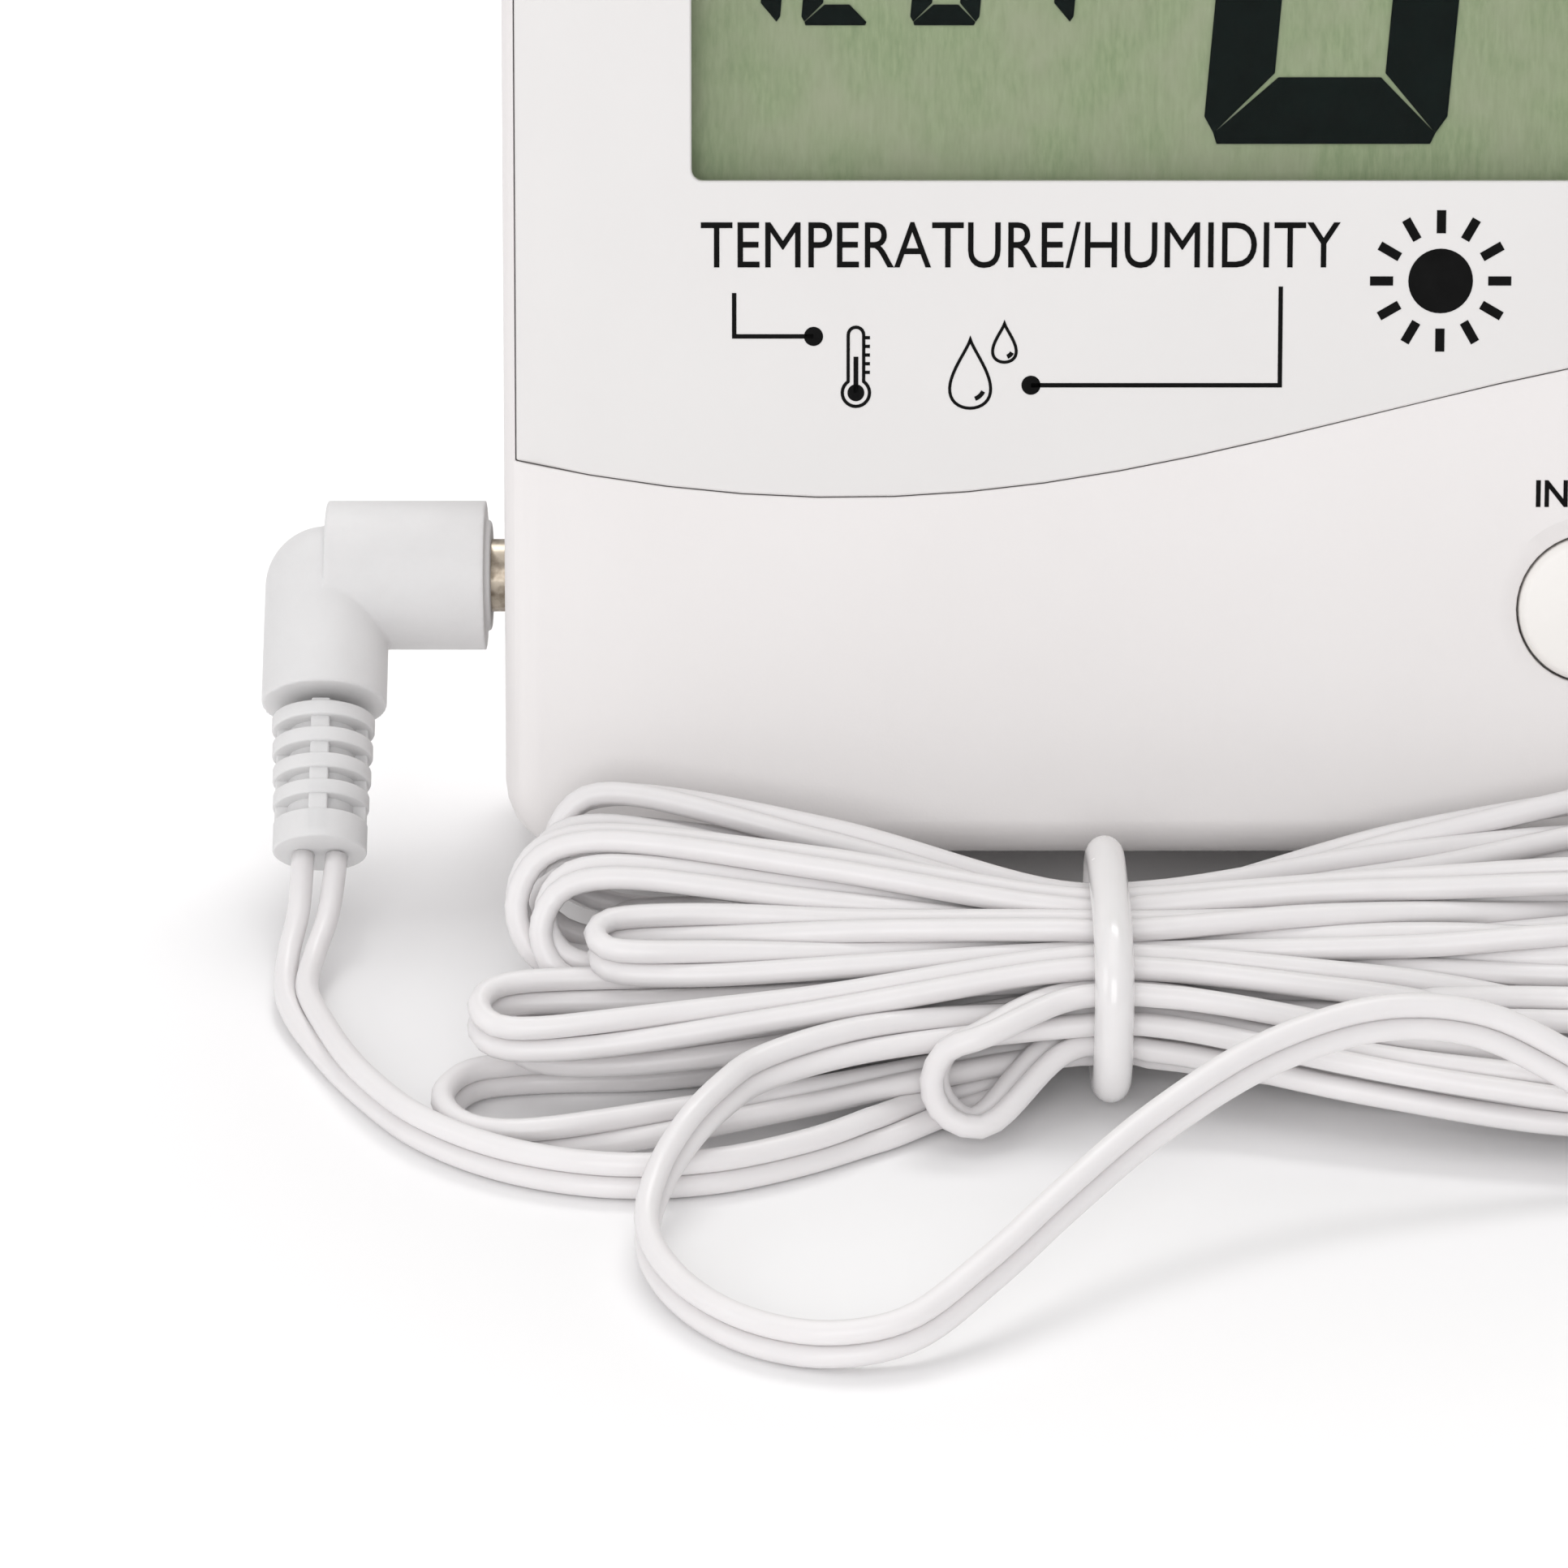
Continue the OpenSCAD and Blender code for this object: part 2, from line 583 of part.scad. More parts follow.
module rear_cover() {
    half_pocket = leg_w / 2 + free_gap;
    color("whitesmoke") on_case() difference() {
        union() {
            difference() {
                intersection() {
                    case_form();
                    block(-case_w, case_w, split_d, case_d + over, -over, case_h + over);
                }
                deep(split_d - over, case_d - wall) polygon(case_outline(wall));
            }
            difference() {
                deep(split_d - 1.5, split_d + 1) polygon(case_outline(wall + seat_gap));
                deep(split_d - 2, split_d + 2) polygon(case_outline(wall + seat_gap + 1));
                block(-case_w, 0, split_d - 2, split_d, jack_s - 5, jack_s + 5);
                for (x = [-boss_x, boss_x]) for (s = boss_s)
                    deep_rod(x, s, split_d - 2, split_d, boss_r + seat_gap);
            }
            deep(split_d, case_d - wall) polygon(case_outline(wall - 0.1));
        }
        difference() {
            deep(split_d - over, case_d - wall) polygon(case_outline(wall + 0.05));
            block(-half_pocket - pocket_wall, half_pocket + pocket_wall,
                pocket_floor_d - pocket_floor_t, case_d, 0, pocket_top_s + pocket_wall);
            for (x = [-boss_x, boss_x]) for (s = boss_s) deep_rod(x, s, split_d, case_d, case_head_r + 1);
            deep(split_d - 2, split_d + over) difference() {
                polygon(case_outline(wall));
                polygon(case_outline(wall + seat_gap + 1));
            }
        }
        block(-half_pocket, half_pocket, pocket_floor_d, case_d + over, -over, pocket_top_s);
        cross_rod(-half_pocket - leg_pin_len, half_pocket + leg_pin_len, leg_hinge_d, leg_hinge_s,
            leg_pin_r + pin_gap);
        block(-door_half - door_gap, door_half + door_gap, case_d - wall - 0.1, case_d + over,
            door_axis_s - door_edge_r - door_gap, door_top_s + door_gap);
        cross_rod(-door_half - door_pin_len - 0.1, door_half + door_pin_len + 0.1, door_axis_d, door_axis_s,
            door_pin_r + pin_gap);
        for (x = [-boss_x, boss_x]) for (s = boss_s) {
            deep_rod(x, s, split_d - over, case_d + over, case_screw_r + seat_gap);
            deep_rod(x, s, case_head_d - case_head_t, case_d + over, case_head_r + seat_gap);
        }
        deep_rod(0, keyhole_s, case_d - wall - over, case_d + over, keyhole_r);
        deep_rod(0, keyhole_s + keyslot_len, case_d - wall - over, case_d + over, keyslot_r);
        block(-keyslot_r, keyslot_r, case_d - wall - over, case_d + over, keyhole_s, keyhole_s + keyslot_len);
        for (i = [0:vent_count - 1]) block(sensor_x - vent_w / 2, sensor_x + vent_w / 2, case_d - wall - over,
            case_d + over, sensor_s + (i - vent_count / 2) * vent_pitch,
            sensor_s + (i - vent_count / 2) * vent_pitch + vent_slot);
    }
    color("whitesmoke") on_case() battery_bay();
}

// The box that holds the cell, open at the back
module battery_bay() {
    difference() {
        block(-bay_half - bay_wall, bay_half + bay_wall, bay_d0 - 1.2, case_d - wall + 0.1,
            bay_s0 - bay_wall, bay_s1 + bay_wall);
        block(-bay_half, bay_half, bay_d0, case_d + over, bay_s0, bay_s1);
        block(-door_half - door_gap, door_half + door_gap, case_d - wall - 0.1, case_d + over,
            door_axis_s - door_edge_r - door_gap, door_top_s + door_gap);
    }
}

module case_screws() {
    color("silver") on_case() for (x = [-boss_x, boss_x]) for (s = boss_s) difference() {
        union() {
            deep_rod(x, s, case_screw_tip_d, case_head_d, case_screw_r);
            deep_rod(x, s, case_head_d - case_head_t, case_head_d, case_head_r);
        }
        for (a = [0, 90]) translate([x, case_head_d, s]) rotate([0, a, 0]) cube([0.5, 1.6, 2.6], center = true);
    }
}

module stand_leg() {
    color("whitesmoke") on_case() translate([0, leg_hinge_d, leg_hinge_s]) rotate([leg_open, 0, 0]) {
        difference() {
            union() {
                block(-leg_w / 2, leg_w / 2, -leg_t / 2, leg_t / 2, -leg_len, leg_heel);
                cross_rod(-leg_w / 2, leg_w / 2, 0, -leg_len, leg_foot_r);
            }
            block(-leg_w / 2 + 4, leg_w / 2 - 4, leg_t / 2 - 1, leg_t, -leg_len + 6, -6);
        }
        for (m = [-1, 1]) cross_rod(m > 0 ? leg_w / 2 : -leg_w / 2 - leg_pin_len,
            m > 0 ? leg_w / 2 + leg_pin_len : -leg_w / 2, 0, 0, leg_pin_r);
    }
}

module battery_door() {
    color("whitesmoke") on_case() difference() {
        union() {
            block(-door_half, door_half, door_axis_d - door_edge_r, door_axis_d + door_edge_r,
                door_axis_s, door_top_s);
            cross_rod(-door_half, door_half, door_axis_d, door_axis_s, door_edge_r);
            cross_rod(-door_half - door_pin_len, door_half + door_pin_len, door_axis_d, door_axis_s, door_pin_r);
            block(-4, 4, door_axis_d - door_edge_r - 1.6, door_axis_d, bay_s1 - 1.8, bay_s1 - 1);
        }
        for (i = [0:2]) block(-5, 5, door_axis_d + door_edge_r - 0.4, case_d + over,
            door_top_s - 2.4 - 1.2 * i, door_top_s - 1.8 - 1.2 * i);
    }
}

module aaa_cell() {
    nub_r = 1.9;
    nub_len = 0.8;
    color("steelblue") on_case() {
        cross_rod(cell_x0, cell_x1 - nub_len, cell_d, cell_s, cell_dia / 2);
        cross_rod(cell_x1 - nub_len, cell_x1, cell_d, cell_s, nub_r);
    }
}

module battery_spring() {
    steps = 10;
    x0 = -bay_half + contact_t + spring_wire_r;
    pitch = (cell_x0 - spring_wire_r - x0) / spring_turns;
    color("silver") on_case() helix_tube([for (i = [0:spring_turns * steps])
        let (a = 360 * i / steps) [x0 + pitch * i / steps, cell_d + spring_r * cos(a), cell_s + spring_r * sin(a)]]);
}

// A round wire wound about an X axis
module helix_tube(points) {
    sides = 8;
    count = len(points);
    rings = [for (i = [0:count - 1])
        let (dir = unit(points[min(i + 1, count - 1)] - points[max(i - 1, 0)]),
             side = unit(cross([1, 0, 0], dir)), up = cross(dir, side))
        for (k = [0:sides - 1]) let (a = 360 * k / sides)
            points[i] + spring_wire_r * (side * cos(a) + up * sin(a))];
    walls = [for (i = [0:count - 2]) for (k = [0:sides - 1])
        let (a = i * sides + k, b = i * sides + (k + 1) % sides) [a, a + sides, b + sides, b]];
    polyhedron(rings, concat(walls, [[for (k = [0:sides - 1]) k],
        [for (k = [0:sides - 1]) count * sides - 1 - k]]), convexity = 10);
}

module positive_contact() {
    color("gold") on_case() block(bay_half - contact_t, bay_half, cell_d - 4, cell_d + 4, cell_s - 4, cell_s + 4);
}

module negative_contact() {
    color("gold") on_case() block(-bay_half, -bay_half + contact_t, cell_d - 4, cell_d + 4, cell_s - 4, cell_s + 4);
}

module battery_wires() {
    wire_d = pcb_back_d + 0.5;
    color("red") on_case() for (x = [-20, 20]) translate([x, wire_d, pcb_s1 - 3])
        cylinder(r = 0.5, h = bay_s0 - bay_wall - pcb_s1 + 3);
}

// The plug's own axes: x along the jack, -z down the column
module on_plug() {
    translate([0, jack_y, jack_z]) rotate([-column_tilt, 0, 0]) children();
}

module plug_body() {
    color("whitesmoke") on_plug() {
        cross_rod(column_x, barrel_x1, 0, 0, barrel_dia / 2);
        cross_rod(barrel_x1, barrel_x1 + disc_len, 0, 0, disc_r);
        translate([column_x, 0, -column_len]) cylinder(r = column_r, h = column_len + column_top - column_r);
        translate([column_x, 0, column_top - column_r]) sphere(r = column_r);
    }
}

module plug_collar() {
    color("tan") on_plug() cross_rod(jack_x0 - collar_gap - collar_len, jack_x0 - collar_gap, 0, 0, collar_r);
}

module plug_sleeve() {
    color("silver") on_plug() cross_rod(jack_x0 - collar_gap, jack_x0 + plug_len - 4, 0, 0, sleeve_r);
}

module plug_insulator() {
    color("black") on_plug() cross_rod(jack_x0 + plug_len - 4, jack_x0 + plug_len - 3.4, 0, 0, sleeve_r);
}

module plug_tip() {
    tip_x = jack_x0 + plug_len - 3.4;
    color("silver") on_plug() {
        cross_rod(tip_x, tip_x + 0.6, 0, 0, sleeve_r);
        cross_rod(tip_x + 0.6, tip_x + 1.2, 0, 0, sleeve_r - 0.35);
        cross_rod(tip_x + 1.2, tip_x + 2.4, 0, 0, sleeve_r);
        translate([tip_x + 2.4, 0, 0]) rotate([0, 90, 0]) cylinder(r1 = sleeve_r, r2 = 0.3, h = 1);
    }
}

module strain_relief() {
    top = -column_len - relief_neck;
    color("whitesmoke") on_plug() difference() {
        union() {
            translate([column_x, 0, top]) cylinder(r = relief_r0 - 0.6, h = relief_neck);
            translate([column_x, 0, top - relief_len]) cylinder(r1 = relief_r1, r2 = relief_r0, h = relief_len);
        }
        for (i = [0:relief_slots - 1]) for (m = [-1, 1])
            translate([column_x + m * relief_r0, 0, top - 1.6 - i * relief_pitch])
                cube([2 * relief_slot_depth, 2 * relief_r0, relief_slot_t], center = true);
    }
}

module lead_from_plug() {
    color("whitesmoke") tube(curve(route_from_plug, lead_rings), lead_w, lead_t, lead_sides);
}

// A run of the hank's section, with its round ends
module hank_outline() {
    translate([hank_x0 + hank_end_r, hank_y0 + hank_end_r]) circle(r = hank_end_r);
    translate([hank_x1 - hank_end_r, hank_y0 + hank_end_r]) circle(r = hank_end_r);
    translate([hank_x0 + hank_end_r, hank_y0]) square([hank_x1 - hank_x0 - 2 * hank_end_r, hank_y1 - hank_y0]);
}

// The space inside the tie
module tie_core(x0, x1) {
    translate([x0, 0, 0]) rotate([90, 0, 90]) linear_extrude(x1 - x0)
        polygon(rounded(tie_y0 + tie_t, tie_t, tie_y1 - tie_t, tie_h - tie_t, 3));
}

module lead_hank() {
    color("whitesmoke") {
        difference() {
            linear_extrude(hank_h) hank_outline();
            translate([tie_x - tie_w / 2 - 0.2, hank_y0 - over, -over])
                cube([tie_w + 0.4, hank_y1 - hank_y0 + 2 * over, hank_h + 2 * over]);
        }
        tie_core(tie_x - tie_w, tie_x + tie_w);
    }
}

module hank_tie() {
    color("white") difference() {
        translate([tie_x - tie_w / 2, 0, 0]) rotate([90, 0, 90]) linear_extrude(tie_w)
            polygon(rounded(tie_y0, 0, tie_y1, tie_h, 5));
        tie_core(tie_x - tie_w, tie_x + tie_w);
    }
}

module lead_to_probe() {
    color("whitesmoke") tube(curve(route_to_probe, lead_rings), lead_w, lead_t, lead_sides);
}

// The probe's own axes, lying along +X on the floor
module on_probe() {
    translate([probe_x0, probe_y, probe_dia / 2]) rotate([0, 90, 0]) children();
}

module probe_relief() {
    color("whitesmoke") on_probe() translate([0, 0, -probe_relief_len])
        cylinder(r1 = 1.6, r2 = probe_dia / 2 - 0.5, h = probe_relief_len);
}

module probe_body() {
    color("whitesmoke") on_probe() difference() {
        cylinder(r = probe_dia / 2, h = probe_len);
        translate([0, 0, 1]) cylinder(r = probe_tip_r - 0.6, h = probe_len);
    }
}

module probe_tip() {
    color("silver") on_probe() translate([0, 0, probe_len]) {
        cylinder(r = probe_tip_r, h = probe_tip_len - probe_tip_r);
        translate([0, 0, probe_tip_len - probe_tip_r]) intersection() {
            sphere(r = probe_tip_r);
            cylinder(r = probe_tip_r, h = probe_tip_r);
        }
    }
}

module probe_thermistor() {
    color("darkorange") on_probe() {
        translate([0, 0, 1]) cylinder(r = 0.5, h = probe_len - 4);
        translate([0, 0, probe_len - 2.6]) sphere(r = 1.2, $fn = 32);
    }
}

front_shell();
face_plate();
lcd_window();
lcd_front_glass();
lcd_rear_glass();
lcd_reflector();
lcd_frame();
zebra_strip();
main_pcb();
pcb_screws();
chip_blob();
clock_crystal();
chip_components();
humidity_sensor();
room_thermistor();
button_in_out();
button_max_min();
button_reset();
plunger_in_out();
plunger_max_min();
plunger_reset();
switch_housings();
jack_housing();
jack_bush();
jack_contacts();
rear_cover();
case_screws();
stand_leg();
battery_door();
aaa_cell();
battery_spring();
positive_contact();
negative_contact();
battery_wires();
plug_body();
plug_collar();
plug_sleeve();
plug_insulator();
plug_tip();
strain_relief();
lead_from_plug();
lead_hank();
hank_tie();
lead_to_probe();
probe_relief();
probe_body();
probe_tip();
probe_thermistor();
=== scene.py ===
"""Looks of the maximum minimum thermometer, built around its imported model."""

import json
import logging
import math
from collections.abc import Callable
from dataclasses import dataclass
from enum import Enum

import bmesh
import bpy
import numpy as np
from mathutils import Matrix, Vector


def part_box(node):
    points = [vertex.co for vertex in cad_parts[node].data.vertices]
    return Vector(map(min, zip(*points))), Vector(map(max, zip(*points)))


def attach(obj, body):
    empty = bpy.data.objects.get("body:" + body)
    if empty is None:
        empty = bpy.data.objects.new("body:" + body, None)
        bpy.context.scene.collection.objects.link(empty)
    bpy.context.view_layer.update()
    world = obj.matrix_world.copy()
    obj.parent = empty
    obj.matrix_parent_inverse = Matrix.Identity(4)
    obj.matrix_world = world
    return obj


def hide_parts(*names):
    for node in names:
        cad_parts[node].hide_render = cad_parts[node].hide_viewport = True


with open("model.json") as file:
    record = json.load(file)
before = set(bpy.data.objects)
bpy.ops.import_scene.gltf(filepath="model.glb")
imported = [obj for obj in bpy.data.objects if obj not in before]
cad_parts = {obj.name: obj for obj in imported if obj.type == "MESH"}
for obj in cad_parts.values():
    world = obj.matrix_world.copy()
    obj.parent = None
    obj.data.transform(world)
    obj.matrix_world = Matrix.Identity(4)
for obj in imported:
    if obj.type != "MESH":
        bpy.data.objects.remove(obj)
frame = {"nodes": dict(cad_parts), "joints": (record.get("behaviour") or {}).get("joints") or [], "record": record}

log = logging.getLogger("thermometer")

MM = 0.001
SHARP_EDGE = 40.0
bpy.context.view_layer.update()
BODY_OF: dict[str, str] = {node: body for body, nodes in frame["record"]["behaviour"]["bodies"].items()
                           for node in nodes}
SLOT_OF: dict[str, str] = {part["node"]: part["material_slot"] for part in frame["record"]["subparts"]}

Point = tuple[float, float, float]
Flat = tuple[float, float]
Colour = tuple[float, float, float]


# ---------------------------------------------------------------- shader groups


def wire(tree: bpy.types.NodeTree, kind: str, inputs: dict[object, object] | None = None,
         **settings: object) -> bpy.types.Node:
    """Adds a node to a tree and connects its inputs.

    Args:
        tree: the node tree.
        kind: the node's whole type name.
        inputs: socket name or number to a value or a source socket.
        **settings: properties of the node.

    Returns:
        The new node.
    """
    node = tree.nodes.new(kind)
    for key, value in settings.items():
        setattr(node, key, value)
    for key, value in (inputs or {}).items():
        if isinstance(value, bpy.types.NodeSocket):
            tree.links.new(value, node.inputs[key])
        else:
            node.inputs[key].default_value = value
    return node


class GroupDraft:
    """A shader node group while it is being wired."""

    def __init__(self, name: str) -> None:
        """Starts an empty group called name."""
        self.tree = bpy.data.node_groups.new(name, "ShaderNodeTree")
        self.entry = self.tree.nodes.new("NodeGroupInput")
        self.exit = self.tree.nodes.new("NodeGroupOutput")

    def give(self, name: str, kind: str, value: object) -> None:
        """Adds an input socket.

        Args:
            name: the socket's name.
            kind: Float, Color or Vector.
            value: its default value.
        """
        socket = self.tree.interface.new_socket(name, in_out="INPUT", socket_type=f"NodeSocket{kind}")
        socket.default_value = value

    def put(self, name: str, kind: str, source: bpy.types.NodeSocket) -> None:
        """Adds an output socket fed by source.

        Args:
            name: the socket's name.
            kind: Float, Color or Vector.
            source: the socket that feeds it.
        """
        self.tree.interface.new_socket(name, in_out="OUTPUT", socket_type=f"NodeSocket{kind}")
        self.tree.links.new(source, self.exit.inputs[name])

    def node(self, kind: str, inputs: dict[object, object] | None = None,
             **settings: object) -> bpy.types.Node:
        """Adds a node.

        Args:
            kind: the node's type, without ShaderNode.
            inputs: socket name or number to a value or a source socket.
            **settings: properties of the node.

        Returns:
            The new node.
        """
        return wire(self.tree, f"ShaderNode{kind}", inputs, **settings)


def moulded_group() -> bpy.types.NodeTree:
    """Builds the group for moulded plastic: faint mottling and spark-fine grain.

    Returns:
        The group's node tree.
    """
    draft = GroupDraft("MouldedSurface")
    draft.give("Base", "Color", (0.8, 0.8, 0.8, 1))
    draft.give("Shade", "Color", (0.75, 0.75, 0.75, 1))
    draft.give("Grain Scale", "Float", 9000.0)
    draft.give("Mottle Scale", "Float", 120.0)
    draft.give("Roughness", "Float", 0.4)
    draft.give("Roughness Spread", "Float", 0.08)
    draft.give("Grain Depth", "Float", 0.000004)
    place = draft.node("TexCoord").outputs["Object"]
    mottle = draft.node("TexNoise", {"Vector": place, "Scale": draft.entry.outputs["Mottle Scale"],
                                     "Detail": 4.0, "Roughness": 0.6})
    grain = draft.node("TexNoise", {"Vector": place, "Scale": draft.entry.outputs["Grain Scale"],
                                    "Detail": 2.0, "Roughness": 0.5})
    tint = draft.node("MapRange", {"Value": mottle.outputs["Fac"], "From Min": 0.3, "From Max": 0.7})
    colour = draft.node("Mix", {"Factor": tint.outputs["Result"], 6: draft.entry.outputs["Base"],
                                7: draft.entry.outputs["Shade"]}, data_type="RGBA")
    shift = draft.node("Math", {0: tint.outputs["Result"], 1: draft.entry.outputs["Roughness Spread"]},
                       operation="MULTIPLY")
    rough = draft.node("Math", {0: shift.outputs[0], 1: draft.entry.outputs["Roughness"]}, operation="ADD")
    bump = draft.node("Bump", {"Height": grain.outputs["Fac"], "Distance": draft.entry.outputs["Grain Depth"],
                               "Strength": 1.0})
    draft.put("Color", "Color", colour.outputs[2])
    draft.put("Roughness", "Float", rough.outputs[0])
    draft.put("Normal", "Vector", bump.outputs["Normal"])
    return draft.tree


def scuffed_group() -> bpy.types.NodeTree:
    """Builds the group for metal: drawn streaks, dulled patches and fine scratches.

    Returns:
        The group's node tree.
    """
    draft = GroupDraft("ScuffedMetal")
    draft.give("Bright", "Color", (0.7, 0.7, 0.7, 1))
    draft.give("Dull", "Color", (0.4, 0.38, 0.35, 1))
    draft.give("Streak", "Vector", (400.0, 6000.0, 6000.0))
    draft.give("Roughness", "Float", 0.25)
    draft.give("Depth", "Float", 0.000004)
    place = draft.node("TexCoord").outputs["Object"]
    drawn = draft.node("VectorMath", {0: place, 1: draft.entry.outputs["Streak"]}, operation="MULTIPLY")
    streak = draft.node("TexNoise", {"Vector": drawn.outputs[0], "Scale": 1.0, "Detail": 3.0})
    patch = draft.node("TexNoise", {"Vector": place, "Scale": 900.0, "Detail": 4.0})
    mask = draft.node("MapRange", {"Value": patch.outputs["Fac"], "From Min": 0.45, "From Max": 0.68})
    colour = draft.node("Mix", {"Factor": mask.outputs["Result"], 6: draft.entry.outputs["Bright"],
                                7: draft.entry.outputs["Dull"]}, data_type="RGBA")
    wear = draft.node("Math", {0: mask.outputs["Result"], 1: 0.2, 2: draft.entry.outputs["Roughness"]},
                      operation="MULTIPLY_ADD")
    bump = draft.node("Bump", {"Height": streak.outputs["Fac"], "Distance": draft.entry.outputs["Depth"]})
    draft.put("Color", "Color", colour.outputs[2])
    draft.put("Roughness", "Float", wear.outputs[0])
    draft.put("Normal", "Vector", bump.outputs["Normal"])
    return draft.tree


def film_group() -> bpy.types.NodeTree:
    """Builds the group for the display's film: fine vertical brushing over a blotchy ground.

    Returns:
        The group's node tree.
    """
    draft = GroupDraft("BrushedFilm")
    draft.give("Light", "Color", (0.3, 0.34, 0.23, 1))
    draft.give("Dark", "Color", (0.22, 0.27, 0.17, 1))
    draft.give("Warm", "Color", (0.33, 0.34, 0.25, 1))
    place = draft.node("TexCoord").outputs["Object"]
    along = draft.node("VectorMath", {0: place, 1: (3200.0, 500.0, 700.0)}, operation="MULTIPLY")
    brush = draft.node("TexNoise", {"Vector": along.outputs[0], "Scale": 1.0, "Detail": 3.0,
                                    "Roughness": 0.7})
    blotch = draft.node("TexNoise", {"Vector": place, "Scale": 260.0, "Detail": 3.0})
    speck = draft.node("MapRange", {"Value": brush.outputs["Fac"], "From Min": 0.3, "From Max": 0.7})
    ground = draft.node("Mix", {"Factor": speck.outputs["Result"], 6: draft.entry.outputs["Dark"],
                                7: draft.entry.outputs["Light"]}, data_type="RGBA")
    warmth = draft.node("MapRange", {"Value": blotch.outputs["Fac"], "From Min": 0.4, "From Max": 0.75,
                                     "To Max": 0.7})
    colour = draft.node("Mix", {"Factor": warmth.outputs["Result"], 6: ground.outputs[2],
                                7: draft.entry.outputs["Warm"]}, data_type="RGBA")
    bump = draft.node("Bump", {"Height": brush.outputs["Fac"], "Distance": 0.000006})
    draft.put("Color", "Color", colour.outputs[2])
    draft.put("Normal", "Vector", bump.outputs["Normal"])
    return draft.tree


class Shaders:
    """The shared shader groups, each built once."""

    _built: dict[str, bpy.types.NodeTree] = {}

    @classmethod
    def get(cls, maker: Callable[[], bpy.types.NodeTree]) -> bpy.types.NodeTree:
        """Returns the group that maker builds, building it the first time.

        Args:
            maker: the function that builds the group.

        Returns:
            The group's node tree.
        """
        if maker.__name__ not in cls._built:
            cls._built[maker.__name__] = maker()
        return cls._built[maker.__name__]


# ---------------------------------------------------------------- finishes


def opaque(colour: Colour) -> tuple[float, float, float, float]:
    """Returns a colour with full alpha."""
    return (*colour, 1.0)


class Finish:
    """What every finish can do: make its material once and lay it on pieces."""

    _made: dict[str, bpy.types.Material] = {}
    name: str

    def fill(self, tree: bpy.types.NodeTree, shader: bpy.types.Node) -> None:
        """Wires the finish's own nodes into a new material."""
        raise NotImplementedError

    @staticmethod
    def place(tree: bpy.types.NodeTree, shader: bpy.types.Node, maker: Callable[[], bpy.types.NodeTree],
              values: dict[str, object], feeds: dict[str, str], uniform: dict[str, object]) -> None:
        """Places a shared group in a material, with its own values, and connects it to the shader.

        Args:
            tree: the material's nodes.
            shader: its Principled shader.
            maker: the function that builds the group.
            values: the group's input names to their values.
            feeds: the group's output names to the shader's input names.
            uniform: the shader's other input names to their values.
        """
        group = wire(tree, "ShaderNodeGroup", node_tree=Shaders.get(maker))
        for name, value in values.items():
            group.inputs[name].default_value = value
        for output, name in feeds.items():
            tree.links.new(group.outputs[output], shader.inputs[name])
        for name, value in uniform.items():
            shader.inputs[name].default_value = value

    def material(self) -> bpy.types.Material:
        """Builds the finish's material the first time it is asked for.

        Returns:
            The material.
        """
        if self.name not in Finish._made:
            made = bpy.data.materials.new(self.name)
            made.use_nodes = True
            shader = made.node_tree.nodes["Principled BSDF"]
            self.fill(made.node_tree, shader)
            Finish._made[self.name] = made
        return Finish._made[self.name]

    def lay(self, piece: bpy.types.Object) -> bpy.types.Object:
        """Puts the finish on every slot of a piece.

        Args:
            piece: a mesh object.

        Returns:
            The same object.
        """
        made = self.material()
        if piece.material_slots:
            for slot in piece.material_slots:
                slot.material = made
        else:
            piece.data.materials.append(made)
        return piece


@dataclass(frozen=True)
class Moulded(Finish):
    """Moulded plastic, rubber, resin or board: a base and a shade colour, a grain and a gloss."""

    name: str
    base: Colour
    shade: Colour
    roughness: float = 0.4
    grain_scale: float = 9000.0
    grain_depth: float = 0.000004
    mottle_scale: float = 120.0
    coat: float = 0.0
    subsurface: float = 0.0
    shine: float = 0.5

    def fill(self, tree: bpy.types.NodeTree, shader: bpy.types.Node) -> None:
        """Wires the moulded surface group to the shader.

        Args:
            tree: the material's nodes.
            shader: its Principled shader.
        """
        self.place(tree, shader, moulded_group,
                   {"Base": opaque(self.base), "Shade": opaque(self.shade), "Grain Scale": self.grain_scale,
                    "Mottle Scale": self.mottle_scale, "Roughness": self.roughness,
                    "Grain Depth": self.grain_depth},
                   {"Color": "Base Color", "Roughness": "Roughness", "Normal": "Normal"},
                   {"Specular IOR Level": self.shine, "Coat Weight": self.coat, "Coat Roughness": 0.12,
                    "Subsurface Weight": self.subsurface, "Subsurface Scale": 0.001,
                    "Subsurface Radius": (1.0, 0.9, 0.85)})


@dataclass(frozen=True)
class Metal(Finish):
    """Plated or drawn metal with dulled patches."""

    name: str
    bright: Colour
    dull: Colour
    roughness: float = 0.25
    streak: Point = (400.0, 6000.0, 6000.0)

    def fill(self, tree: bpy.types.NodeTree, shader: bpy.types.Node) -> None:
        """Wires the scuffed metal group to the shader.

        Args:
            tree: the material's nodes.
            shader: its Principled shader.
        """
        self.place(tree, shader, scuffed_group,
                   {"Bright": opaque(self.bright), "Dull": opaque(self.dull), "Streak": self.streak,
                    "Roughness": self.roughness},
                   {"Color": "Base Color", "Roughness": "Roughness", "Normal": "Normal"}, {"Metallic": 1.0})


